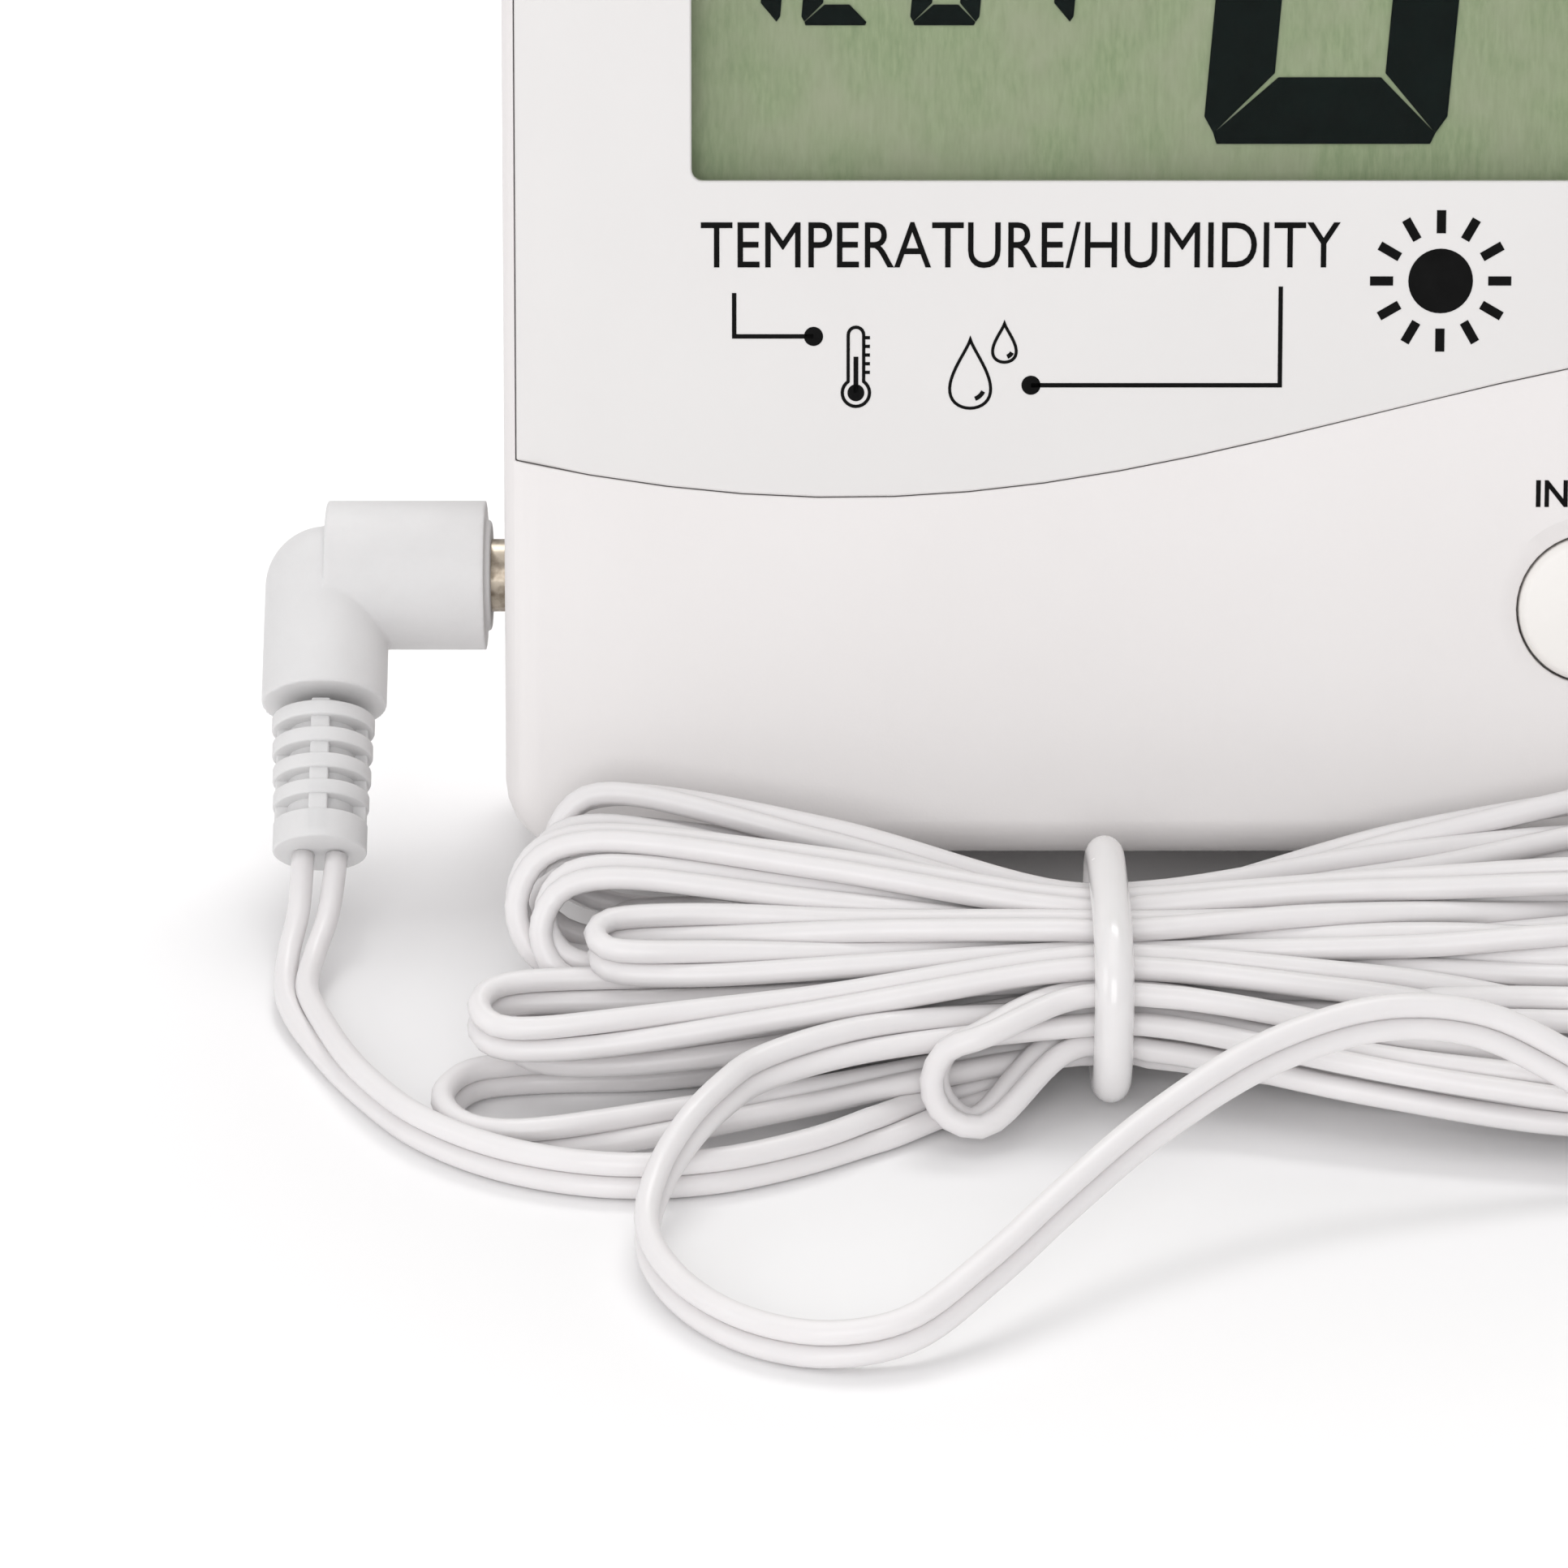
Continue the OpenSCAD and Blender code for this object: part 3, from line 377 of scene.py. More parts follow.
@dataclass(frozen=True)
class ClearSheet(Finish):
    """A thin clear sheet or glass that lets what is behind it show through."""

    name: str
    base: Colour
    alpha: float
    roughness: float = 0.06

    def fill(self, tree: bpy.types.NodeTree, shader: bpy.types.Node) -> None:
        """Wires a faintly hazed, see-through surface.

        Args:
            tree: the material's nodes.
            shader: its Principled shader.
        """
        self.place(tree, shader, moulded_group,
                   {"Base": opaque(self.base), "Shade": opaque(tuple(0.94 * c for c in self.base)),
                    "Roughness": self.roughness, "Roughness Spread": 0.03, "Grain Depth": 0.0,
                    "Mottle Scale": 60.0},
                   {"Color": "Base Color", "Roughness": "Roughness"}, {"Alpha": self.alpha})


@dataclass(frozen=True)
class Film(Finish):
    """The display's brushed film, light on dark under a warmer haze."""

    name: str
    light: Colour
    dark: Colour
    warm: Colour
    roughness: float = 0.55

    def fill(self, tree: bpy.types.NodeTree, shader: bpy.types.Node) -> None:
        """Wires the brushed film group to the shader.

        Args:
            tree: the material's nodes.
            shader: its Principled shader.
        """
        self.place(tree, shader, film_group,
                   {"Light": opaque(self.light), "Dark": opaque(self.dark), "Warm": opaque(self.warm)},
                   {"Color": "Base Color", "Normal": "Normal"}, {"Roughness": self.roughness})


CASE_WHITE = Moulded("case_white", (0.80, 0.775, 0.768), (0.785, 0.758, 0.75), 0.42, 7000.0, 0.000006, 40.0)
PLATE_WHITE = Moulded("plate_white", (0.74, 0.726, 0.716), (0.726, 0.71, 0.702), 0.4, 11000.0, 0.000002,
                      30.0, 0.04)
BUTTON_CREAM = Moulded("button_cream", (0.87, 0.845, 0.815), (0.85, 0.825, 0.795), 0.35, 8000.0, 0.000003,
                       200.0)
PLUG_WHITE = Moulded("plug_white", (0.72, 0.715, 0.715), (0.69, 0.685, 0.685), 0.5, 6000.0, 0.00001, 240.0,
                     subsurface=0.1)
LEAD_WHITE = Moulded("lead_white", (0.81, 0.79, 0.792), (0.785, 0.765, 0.767), 0.38, 5200.0, 0.000004, 300.0,
                     0.15, 0.12)
TIE_WHITE = Moulded("tie_white", (0.82, 0.805, 0.805), (0.8, 0.785, 0.785), 0.2, 5000.0, 0.000003, 260.0,
                    0.5, 0.1)
PRINT_BLACK = Moulded("print_black", (0.004, 0.004, 0.004), (0.007, 0.007, 0.007), 0.6, 16000.0, 0.000002,
                      900.0, shine=0.05)
DIGIT_GREEN = Moulded("digit_green", (0.0006, 0.0042, 0.0036), (0.0005, 0.0025, 0.0022), 0.5, 9000.0, 0.0,
                      700.0, shine=0.05)
BOARD_GREEN = Moulded("board_green", (0.02, 0.16, 0.07), (0.015, 0.12, 0.055), 0.35, 4000.0, 0.00001, 500.0,
                      0.4)
EPOXY_BLACK = Moulded("epoxy_black", (0.012, 0.012, 0.013), (0.02, 0.02, 0.022), 0.15, 900.0, 0.00002, 300.0,
                      0.5)
PART_BLACK = Moulded("part_black", (0.025, 0.025, 0.028), (0.035, 0.035, 0.038), 0.5, 5000.0, 0.00001, 600.0)
PART_TAN = Moulded("part_tan", (0.38, 0.27, 0.15), (0.3, 0.21, 0.12), 0.5, 5000.0, 0.00001, 900.0)
FRAME_GREY = Moulded("frame_grey", (0.6, 0.6, 0.59), (0.56, 0.56, 0.55), 0.5, 5000.0, 0.00001, 200.0)
SENSOR_WHITE = Moulded("sensor_white", (0.75, 0.75, 0.72), (0.7, 0.7, 0.67), 0.5, 5000.0, 0.00001, 700.0)
BEAD_ORANGE = Moulded("bead_orange", (0.5, 0.13, 0.02), (0.42, 0.1, 0.015), 0.25, 3000.0, 0.00001, 900.0, 0.4)
ZEBRA_RUBBER = Moulded("zebra_rubber", (0.6, 0.32, 0.33), (0.5, 0.25, 0.27), 0.6, 4000.0, 0.00001, 900.0)
WIRE_RED = Moulded("wire_red", (0.55, 0.02, 0.015), (0.45, 0.015, 0.012), 0.35, 5000.0, 0.00001, 700.0, 0.2)
CELL_WRAP = Moulded("cell_wrap", (0.04, 0.16, 0.32), (0.03, 0.12, 0.26), 0.3, 4000.0, 0.000005, 300.0, 0.3)
STEEL = Metal("steel", (0.66, 0.65, 0.63), (0.42, 0.4, 0.37), 0.25)
COLLAR_METAL = Metal("collar_metal", (0.5, 0.44, 0.36), (0.2, 0.16, 0.12), 0.3, (300.0, 4000.0, 4000.0))
BRASS = Metal("brass", (0.78, 0.6, 0.3), (0.5, 0.36, 0.18), 0.3)
LENS_CLEAR = ClearSheet("lens_clear", (0.3, 0.34, 0.3), 0.006)
LCD_GLASS = ClearSheet("lcd_glass", (0.5, 0.56, 0.46), 0.12)
POLARISER = Film("polariser", (0.26, 0.325, 0.18), (0.19, 0.255, 0.125), (0.3, 0.325, 0.215))
FLOOR_WHITE = Moulded("studio_floor", (0.93, 0.925, 0.927), (0.925, 0.92, 0.922), 0.7, 900.0, 0.0, 8.0)
REFLECTOR = Film("reflector", (0.5, 0.52, 0.47), (0.42, 0.45, 0.4), (0.54, 0.53, 0.47))


# ---------------------------------------------------------------- mesh helpers


def stood(name: str, data: bpy.types.ID) -> bpy.types.Object:
    """Makes an object and links it to the scene.

    Args:
        name: the object's name.
        data: its mesh or other data.

    Returns:
        The new object.
    """
    piece = bpy.data.objects.new(name, data)
    bpy.context.collection.objects.link(piece)
    return piece


def mesh_object(name: str, verts: list[Point], faces: list[tuple[int, ...]],
                smooth: bool = True) -> bpy.types.Object:
    """Makes an object from points in millimetres.

    Args:
        name: the object's name.
        verts: its points, in millimetres.
        faces: its faces, as point numbers.
        smooth: whether faces shade smoothly.

    Returns:
        The new object, linked to the scene.
    """
    mesh = bpy.data.meshes.new(name)
    mesh.from_pydata([tuple(MM * c for c in v) for v in verts], [], faces)
    mesh.validate()
    if smooth:
        mesh.shade_smooth()
    return stood(name, mesh)


def clean(mesh: bpy.types.Mesh, reach: float, outwards: bool = False, flat: float = 0.0) -> None:
    """Merges a mesh's doubled points.

    Args:
        mesh: the mesh, changed in place.
        reach: how near doubled points are, in metres.
        outwards: whether its faces are turned outwards too.
        flat: edges flatter than this, in degrees, are dissolved; 0 keeps them.
    """
    work = bmesh.new()
    work.from_mesh(mesh)
    bmesh.ops.remove_doubles(work, verts=work.verts, dist=reach)
    if outwards:
        bmesh.ops.recalc_face_normals(work, faces=work.faces)
    if flat:
        bmesh.ops.dissolve_limit(work, angle_limit=math.radians(flat), verts=work.verts, edges=work.edges)
    work.to_mesh(mesh)
    work.free()


def settle(piece: bpy.types.Object) -> bpy.types.Object:
    """Applies a piece's modifiers to its mesh.

    Args:
        piece: an object with live modifiers.

    Returns:
        The same object, with a plain mesh.
    """
    graph = bpy.context.evaluated_depsgraph_get()
    result = bpy.data.meshes.new_from_object(piece.evaluated_get(graph))
    piece.modifiers.clear()
    old = piece.data
    piece.data = result
    bpy.data.meshes.remove(old)
    return piece


def sharpen(piece: bpy.types.Object, angle: float = 35.0) -> bpy.types.Object:
    """Shades a piece smoothly, apart from its sharp edges.

    Args:
        piece: a mesh object.
        angle: how sharp an edge is kept, in degrees.

    Returns:
        The same object.
    """
    piece.data.shade_smooth()
    piece.data.set_sharp_from_angle(angle=math.radians(angle))
    return piece


def add_rounding(piece: bpy.types.Object, width: float, segments: int) -> None:
    """Adds a bevel on a piece's sharp edges.

    Args:
        piece: a mesh object.
        width: the bevel's width, in the piece's own units.
        segments: how many faces it has across.
    """
    bevel = piece.modifiers.new("soften", "BEVEL")
    bevel.width = width
    bevel.segments = segments
    bevel.limit_method = "ANGLE"
    bevel.angle_limit = math.radians(SHARP_EDGE)
    bevel.use_clamp_overlap = True


def copied(node: str, name: str, flat: float = 0.0) -> bpy.types.Object:
    """Copies a CAD node's mesh into a new piece, with its doubled points merged.

    Args:
        node: the CAD node's name.
        name: the new piece's name.
        flat: edges flatter than this, in degrees, are dissolved; 0 keeps them.

    Returns:
        The new piece, with no material.
    """
    mesh = frame["nodes"][node].data.copy()
    mesh.materials.clear()
    clean(mesh, 1e-6, flat=flat)
    return stood(name, mesh)


def refined(node: str, name: str, finish: Finish, soften: float) -> bpy.types.Object:
    """Copies a CAD node, rounds its sharp edges and stands in for it.

    Args:
        node: the CAD node's name.
        name: the new piece's name.
        finish: what it is covered in.
        soften: width of the rounding, in millimetres.

    Returns:
        The new piece, riding with the node's body.
    """
    piece = copied(node, name, 0.6)
    add_rounding(piece, soften * MM, 2)
    weigh = piece.modifiers.new("flatten", "WEIGHTED_NORMAL")
    weigh.keep_sharp = True
    sharpen(piece)
    settle(piece)
    finish.lay(piece)
    return stand_for(piece, node)


def stand_for(piece: bpy.types.Object, *nodes: str) -> bpy.types.Object:
    """Makes a piece ride with the body of the nodes it stands for, and replaces them.

    Args:
        piece: the finished piece.
        *nodes: the CAD nodes it stands for.

    Returns:
        The same piece.
    """
    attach(piece, BODY_OF[nodes[0]])
    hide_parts(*nodes)
    return piece


def lathe(name: str, profile: list[Flat], place: Matrix, sides: int = 64) -> bpy.types.Object:
    """Turns a profile about its own Z axis into a closed piece.

    Args:
        name: the piece's name.
        profile: (radius, height) pairs in millimetres, from the axis out and back to the axis.
        place: where its origin and axes go, with its offset in millimetres.
        sides: how many sides it has.

    Returns:
        The new object.
    """
    verts, faces = [], []
    for radius, height in profile:
        for k in range(sides):
            a = 2 * math.pi * k / sides
            verts.append(tuple(place @ Vector((radius * math.cos(a), radius * math.sin(a), height))))
    for i in range(len(profile) - 1):
        for k in range(sides):
            a, b = i * sides + k, i * sides + (k + 1) % sides
            faces.append((a, b, b + sides, a + sides))
    piece = mesh_object(name, verts, faces)
    clean(piece.data, 1e-7, outwards=True)
    return sharpen(piece, 50.0)


def arc(centre: Flat, radius: float, start: float, end: float, steps: int) -> list[Flat]:
    """Returns points on an arc in the plane, from start to end in degrees."""
    turn = [math.radians(start + (end - start) * i / steps) for i in range(steps + 1)]
    return [(centre[0] + radius * math.cos(a), centre[1] + radius * math.sin(a)) for a in turn]


# ---------------------------------------------------------------- the case's own axes


class CaseAxes:
    """The leaning case's axes: x across, d into the case from its face, s up its face, in millimetres."""

    def __init__(self) -> None:
        """Finds the axes from a button's travel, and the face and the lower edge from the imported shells."""
        press = next(j for j in frame["joints"] if j["name"] == "in_out_press")
        self.into = Vector(press["axis"]).normalized()
        self.up = Vector((0.0, -self.into.z, self.into.y))
        shell = [frame["nodes"][n].data.vertices for n in ("front_shell", "rear_cover")]
        points = [v.co for verts in shell for v in verts]
        self.left = min(p.x for p in points) / MM
        self.face = min(p.dot(self.into) for p in points) / MM
        self.foot = min(p.dot(self.up) for p in points) / MM

    def at(self, x: float, d: float, s: float) -> Point:
        """Returns a point given on the case's axes, in millimetres."""
        return tuple(Vector((x, 0, 0)) + (self.face + d) * self.into + (self.foot + s) * self.up)

    def read(self, node: str) -> list[Point]:
        """Returns the x, d and s of a node's every point."""
        return [(v.co.x / MM, v.co.dot(self.into) / MM - self.face, v.co.dot(self.up) / MM - self.foot)
                for v in frame["nodes"][node].data.vertices]

    def span(self, node: str) -> tuple[Flat, Flat, Flat]:
        """Returns a node's lowest and highest x, d and s."""
        return tuple((min(side), max(side)) for side in zip(*self.read(node)))

    def matrix(self, x: float, d: float, s: float) -> Matrix:
        """Finds how a piece is turned and placed when its Z points out of the face.

        Args:
            x: its origin across the case, in millimetres.
            d: its origin's depth.
            s: its origin's height up the face.

        Returns:
            The turn and the place, in millimetres.
        """
        turn = Matrix((Vector((1, 0, 0)), self.up, -self.into)).transposed().to_4x4()
        turn.translation = Vector(self.at(x, d, s))
        return turn


# ---------------------------------------------------------------- geometry nodes


class NodesDraft:
    """A geometry node tree while it is being wired, and the baking of its result."""

    def __init__(self, name: str, finish: Finish) -> None:
        """Starts an empty tree.

        Args:
            name: the tree's name.
            finish: what the result is covered in.
        """
        self.name = name
        self.finish = finish
        self.values: dict[str, object] = {}
        self.tree = bpy.data.node_groups.new(name, "GeometryNodeTree")
        self.tree.interface.new_socket("Geometry", in_out="OUTPUT", socket_type="NodeSocketGeometry")
        self.entry = self.tree.nodes.new("NodeGroupInput")
        self.exit = self.tree.nodes.new("NodeGroupOutput")

    def give(self, name: str, kind: str, value: object) -> bpy.types.NodeSocket:
        """Adds a named input with its value.

        Args:
            name: the input's name.
            kind: Float, Int or Vector.
            value: what it is set to.

        Returns:
            The socket that carries it.
        """
        socket = self.tree.interface.new_socket(name, in_out="INPUT", socket_type=f"NodeSocket{kind}")
        self.values[socket.identifier] = value
        return self.entry.outputs[name]

    def node(self, kind: str, inputs: dict[object, object] | None = None,
             **settings: object) -> bpy.types.Node:
        """Adds a node and connects its inputs.

        Args:
            kind: the node's whole type name.
            inputs: socket name or number to a value or a source socket.
            **settings: properties of the node.

        Returns:
            The new node.
        """
        return wire(self.tree, kind, inputs, **settings)

    def join(self, *parts: bpy.types.Node) -> bpy.types.Node:
        """Adds a node that joins geometry.

        Args:
            *parts: the nodes whose geometry it joins.

        Returns:
            The new node.
        """
        both = self.node("GeometryNodeJoinGeometry")
        for part in parts:
            self.tree.links.new(part.outputs[0], both.inputs[0])
        return both

    def bake(self, shape: bpy.types.NodeSocket, place: Matrix, soften: float = 0.0) -> bpy.types.Object:
        """Ends the tree, runs it and turns the result into a plain mesh in its place.

        Args:
            shape: the geometry that the tree puts out, in millimetres.
            place: the result's turn and place, in millimetres.
            soften: rounding of its sharp edges, in millimetres.

        Returns:
            The finished piece.
        """
        whole = self.node("GeometryNodeRealizeInstances", {0: shape})
        dressed = self.node("GeometryNodeSetMaterial", {0: whole.outputs[0],
                                                        "Material": self.finish.material()})
        self.tree.links.new(dressed.outputs[0], self.exit.inputs[0])
        piece = stood(self.name, bpy.data.meshes.new(self.name))
        modifier = piece.modifiers.new("pattern", "NODES")
        modifier.node_group = self.tree
        for identifier, value in self.values.items():
            modifier[identifier] = value
        if soften:
            add_rounding(piece, soften, 3)
        settle(piece)
        piece.data.transform(Matrix.Scale(MM, 4) @ place)
        clean(piece.data, 1e-7, outwards=True)
        return sharpen(piece)


# ---------------------------------------------------------------- thin inked shapes


@dataclass(frozen=True)
class Label:
    """Lettering: what it says, its left edge u and foot s, its size, and how much bolder than plain it is."""

    text: str
    u: float
    s: float
    width: float
    height: float
    weight: float = 0.0


class Ink:
    """Thin raised shapes on a flat face of the case, gathered into one piece."""

    def __init__(self, axes: CaseAxes, depth: float, thick: float) -> None:
        """Starts with nothing drawn.

        Args:
            axes: the case's axes.
            depth: how deep in the case the shapes' backs lie, in millimetres.
            thick: how thick they are.
        """
        self.axes = axes
        self.depth = depth
        self.thick = thick
        self.verts: list[Point] = []
        self.faces: list[tuple[int, ...]] = []

    def shape(self, outline: list[Flat]) -> None:
        """Adds a closed convex outline.

        Args:
            outline: its points, in millimetres from the case's left and lower edges.
        """
        turn = sum((b[0] - a[0]) * (b[1] + a[1]) for a, b in zip(outline, outline[1:] + outline[:1]))
        points = outline if turn < 0 else outline[::-1]
        base, count = len(self.verts), len(points)
        for depth in (self.depth, self.depth - self.thick):
            self.verts += [self.axes.at(self.axes.left + u, depth, s) for u, s in points]
        self.faces.append(tuple(base + count + k for k in range(count)))
        self.faces.append(tuple(base + k for k in reversed(range(count))))
        for k in range(count):
            j = (k + 1) % count
            self.faces.append((base + k, base + j, base + count + j, base + count + k))

    def stroke(self, path: list[Flat], width: float, closed: bool = False) -> None:
        """Adds a line of even width along a path.

        Args:
            path: the line's middle.
            width: its width.
            closed: whether it ends where it starts.
        """
        count = len(path)
        sides = []
        for i, (u, s) in enumerate(path):
            back = path[i - 1] if i or closed else path[i]
            ahead = path[(i + 1) % count] if i < count - 1 or closed else path[i]
            a = Vector((u - back[0], s - back[1]))
            b = Vector((ahead[0] - u, ahead[1] - s))
            a = a.normalized() if a.length else b.normalized()
            b = b.normalized() if b.length else a
            normal = Vector((-(a + b).y, (a + b).x)).normalized()
            reach = width / 2 / max(normal.dot(Vector((-a.y, a.x))), 0.4)
            sides.append(((u + normal.x * reach, s + normal.y * reach),
                          (u - normal.x * reach, s - normal.y * reach)))
        pairs = list(zip(sides, sides[1:])) + ([(sides[-1], sides[0])] if closed else [])
        for (a, b), (c, d) in pairs:
            self.shape([a, c, d, b])

    def disc(self, u: float, s: float, radius: float, steps: int = 28) -> None:
        """Adds a filled disc."""
        self.shape(arc((u, s), radius, 0, 360 - 360 / steps, steps - 1))

    def words(self, label: Label) -> None:
        """Adds lettering, stretched to its label's width and height.

        Args:
            label: what it says, where and how big.
        """
        curve = bpy.data.curves.new("lettering", "FONT")
        curve.body = label.text
        curve.resolution_u = 5
        curve.extrude = 0.5
        curve.offset = label.weight
        source = stood("lettering", curve)
        graph = bpy.context.evaluated_depsgraph_get()
        mesh = bpy.data.meshes.new_from_object(source.evaluated_get(graph))
        bpy.data.objects.remove(source)
        bpy.data.curves.remove(curve)
        low = [min(v.co[k] for v in mesh.vertices) for k in range(2)]
        high = [max(v.co[k] for v in mesh.vertices) for k in range(2)]
        base = len(self.verts)
        for vertex in mesh.vertices:
            x = label.u + (vertex.co.x - low[0]) / (high[0] - low[0]) * label.width
            y = label.s + (vertex.co.y - low[1]) / (high[1] - low[1]) * label.height
            depth = self.depth - self.thick * (vertex.co.z + 0.5)
            self.verts.append(self.axes.at(self.axes.left + x, depth, y))
        self.faces += [tuple(base + i for i in face.vertices) for face in mesh.polygons]
        bpy.data.meshes.remove(mesh)

    def piece(self, name: str, finish: Finish, body: str) -> bpy.types.Object:
        """Makes the gathered shapes one piece.

        Args:
            name: the piece's name.
            finish: what it is covered in.
            body: the body it rides on.

        Returns:
            The finished piece.
        """
        made = mesh_object(name, self.verts, self.faces, smooth=False)
        finish.lay(made)
        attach(made, body)
        return made


# ---------------------------------------------------------------- display


class Segment(Enum):
    """The seven segments of a digit."""

    TOP = "a"
    UPPER_RIGHT = "b"
    LOWER_RIGHT = "c"
    BOTTOM = "d"
    LOWER_LEFT = "e"
    UPPER_LEFT = "f"
    MIDDLE = "g"


LIT: dict[str, str] = {"0": "abcdef", "1": "bc", "2": "abged", "3": "abgcd", "4": "fgbc", "5": "afgcd",
                       "6": "afgedc", "7": "abc", "8": "abcdefg", "9": "abcdfg", "C": "afed"}


@dataclass(frozen=True)
class Figures:
    """A row of digits: what they say, their left edges, and their foot, width, height and segment width."""

    signs: str
    starts: tuple[float, ...]
    foot: float
    width: float
    height: float
    bar: float


OUT_ROW = Figures("07", (38.0, 53.6), 38.8, 13.2, 26.0, 3.6)
CLOCK_ROW = Figures("1201", (11.3, 16.2, 22.1, 27.2), 45.2, 3.75, 7.6, 1.12)
IN_ROW = Figures("245", (14.0, 25.2, 38.6), 71.5, 9.4, 19.0, 2.5)
DAMP_ROW = Figures("58", (63.0, 71.2), 71.5, 6.6, 13.0, 1.8)
CELSIUS_ROWS = (Figures("C", (72.0,), 60.0, 3.2, 5.2, 0.8), Figures("C", (53.2,), 85.6, 3.2, 5.2, 0.8))


@dataclass
class Display:
    """The liquid crystal display: clear sheets, brushed film and the digits between them."""

    slant: float = 0.087
    gap: float = 0.22
    full_bar: float = 3.0
    corner: float = 0.16
    behind: float = 0.02
    thick: float = 0.06
    colon_u: float = 21.05
    colon: tuple[float, ...] = (47.4, 50.2)
    colon_r: float = 0.42
    point: tuple[float, float, float] = (36.6, 72.6, 0.95)
    degree_r: float = 0.75
    degree_left: float = 1.4
    degree_up: float = 3.6
    degree_line: float = 0.4
    rule: tuple[Flat, ...] = ((12.8, 67.6), (87.4, 67.6))
    rule_line: float = 0.35
    labels: tuple[Label, ...] = (
        Label("%", 80.4, 71.8, 4.2, 4.6), Label("OUT", 78.2, 60.0, 6.4, 2.4),
        Label("IN", 14.0, 92.2, 3.2, 2.2), Label("HUMIDITY", 63.6, 88.0, 15.5, 2.2),
        Label("CLOCK", 14.6, 55.2, 9.4, 2.0))

    def outline(self, segment: Segment, row: Figures) -> list[Flat]:
        """Draws one segment upright, with its digit's foot at the origin.

        Args:
            segment: which of the seven.
            row: the row it belongs to.

        Returns:
            The segment's corners.
        """
        width, height, bar, half = row.width, row.height, row.bar, row.height / 2
        slit = self.gap * min(bar / self.full_bar, 1)
        cut = bar * self.corner
        if segment in (Segment.TOP, Segment.BOTTOM):
            points = [(cut + slit, 0), (width - cut - slit, 0), (width - cut * 0.6 - slit, cut),
                      (width - bar - slit, bar), (bar + slit, bar), (cut * 0.6 + slit, cut)]
            return points if segment is Segment.BOTTOM else [(x, height - y) for x, y in points]
        if segment is Segment.MIDDLE:
            return [(bar / 2 + slit, half), (bar + slit, half + bar / 2),
                    (width - bar - slit, half + bar / 2), (width - bar / 2 - slit, half),
                    (width - bar - slit, half - bar / 2), (bar + slit, half - bar / 2)]
        points = [(0, slit + bar * 0.35), (cut, slit + bar * 0.1), (bar, slit + bar),
                  (bar, half - slit - bar / 2), (bar / 2, half - slit), (0, half - slit - bar * 0.2)]
        if segment in (Segment.UPPER_LEFT, Segment.UPPER_RIGHT):
            points = [(x, height - y) for x, y in reversed(points)]
        if segment in (Segment.LOWER_RIGHT, Segment.UPPER_RIGHT):
            points = [(width - x, y) for x, y in points]
        return points

    def draw(self, ink: Ink, row: Figures) -> None:
        """Draws a row of slanted digits.

        Args:
            ink: where they are drawn.
            row: the digits.
        """
        for u, sign in zip(row.starts, row.signs):
            for segment in Segment:
                if segment.value in LIT[sign]:
                    ink.shape([(u + x + y * self.slant, row.foot + y) for x, y in self.outline(segment, row)])

    def figures(self, axes: CaseAxes) -> bpy.types.Object:
        """Draws every lit figure of the display.

        Args:
            axes: the case's axes.

        Returns:
            The finished piece.
        """
        lens = axes.span("lcd_window")[1]
        glass = axes.span("lcd_front_glass")[1]
        ink = Ink(axes, glass[0] - self.behind, min(self.thick, (glass[0] - lens[1]) / 2))
        for row in (OUT_ROW, CLOCK_ROW, IN_ROW, DAMP_ROW, *CELSIUS_ROWS):
            self.draw(ink, row)
        for s in self.colon:
            ink.disc(self.colon_u + (s - CLOCK_ROW.foot) * self.slant, s, self.colon_r, 16)
        ink.disc(*self.point, 20)
        for row in CELSIUS_ROWS:
            centre = (row.starts[0] - self.degree_left, row.foot + self.degree_up)
            ink.stroke(arc(centre, self.degree_r, 0, 345, 23), self.degree_line, closed=True)
        for label in self.labels:
            ink.words(label)
        ink.stroke(list(self.rule), self.rule_line)
        return ink.piece("display_figures", DIGIT_GREEN, "case")

    def build(self, axes: CaseAxes) -> bpy.types.Object:
        """Dresses the sheets and draws the figures.

        Args:
            axes: the case's axes.

        Returns:
            The figures' piece.
        """
        for node, finish in (("lcd_window", LENS_CLEAR), ("lcd_front_glass", POLARISER),
                             ("lcd_rear_glass", LCD_GLASS), ("lcd_reflector", REFLECTOR)):
            finish.lay(frame["nodes"][node])
        return self.figures(axes)


# ---------------------------------------------------------------- print


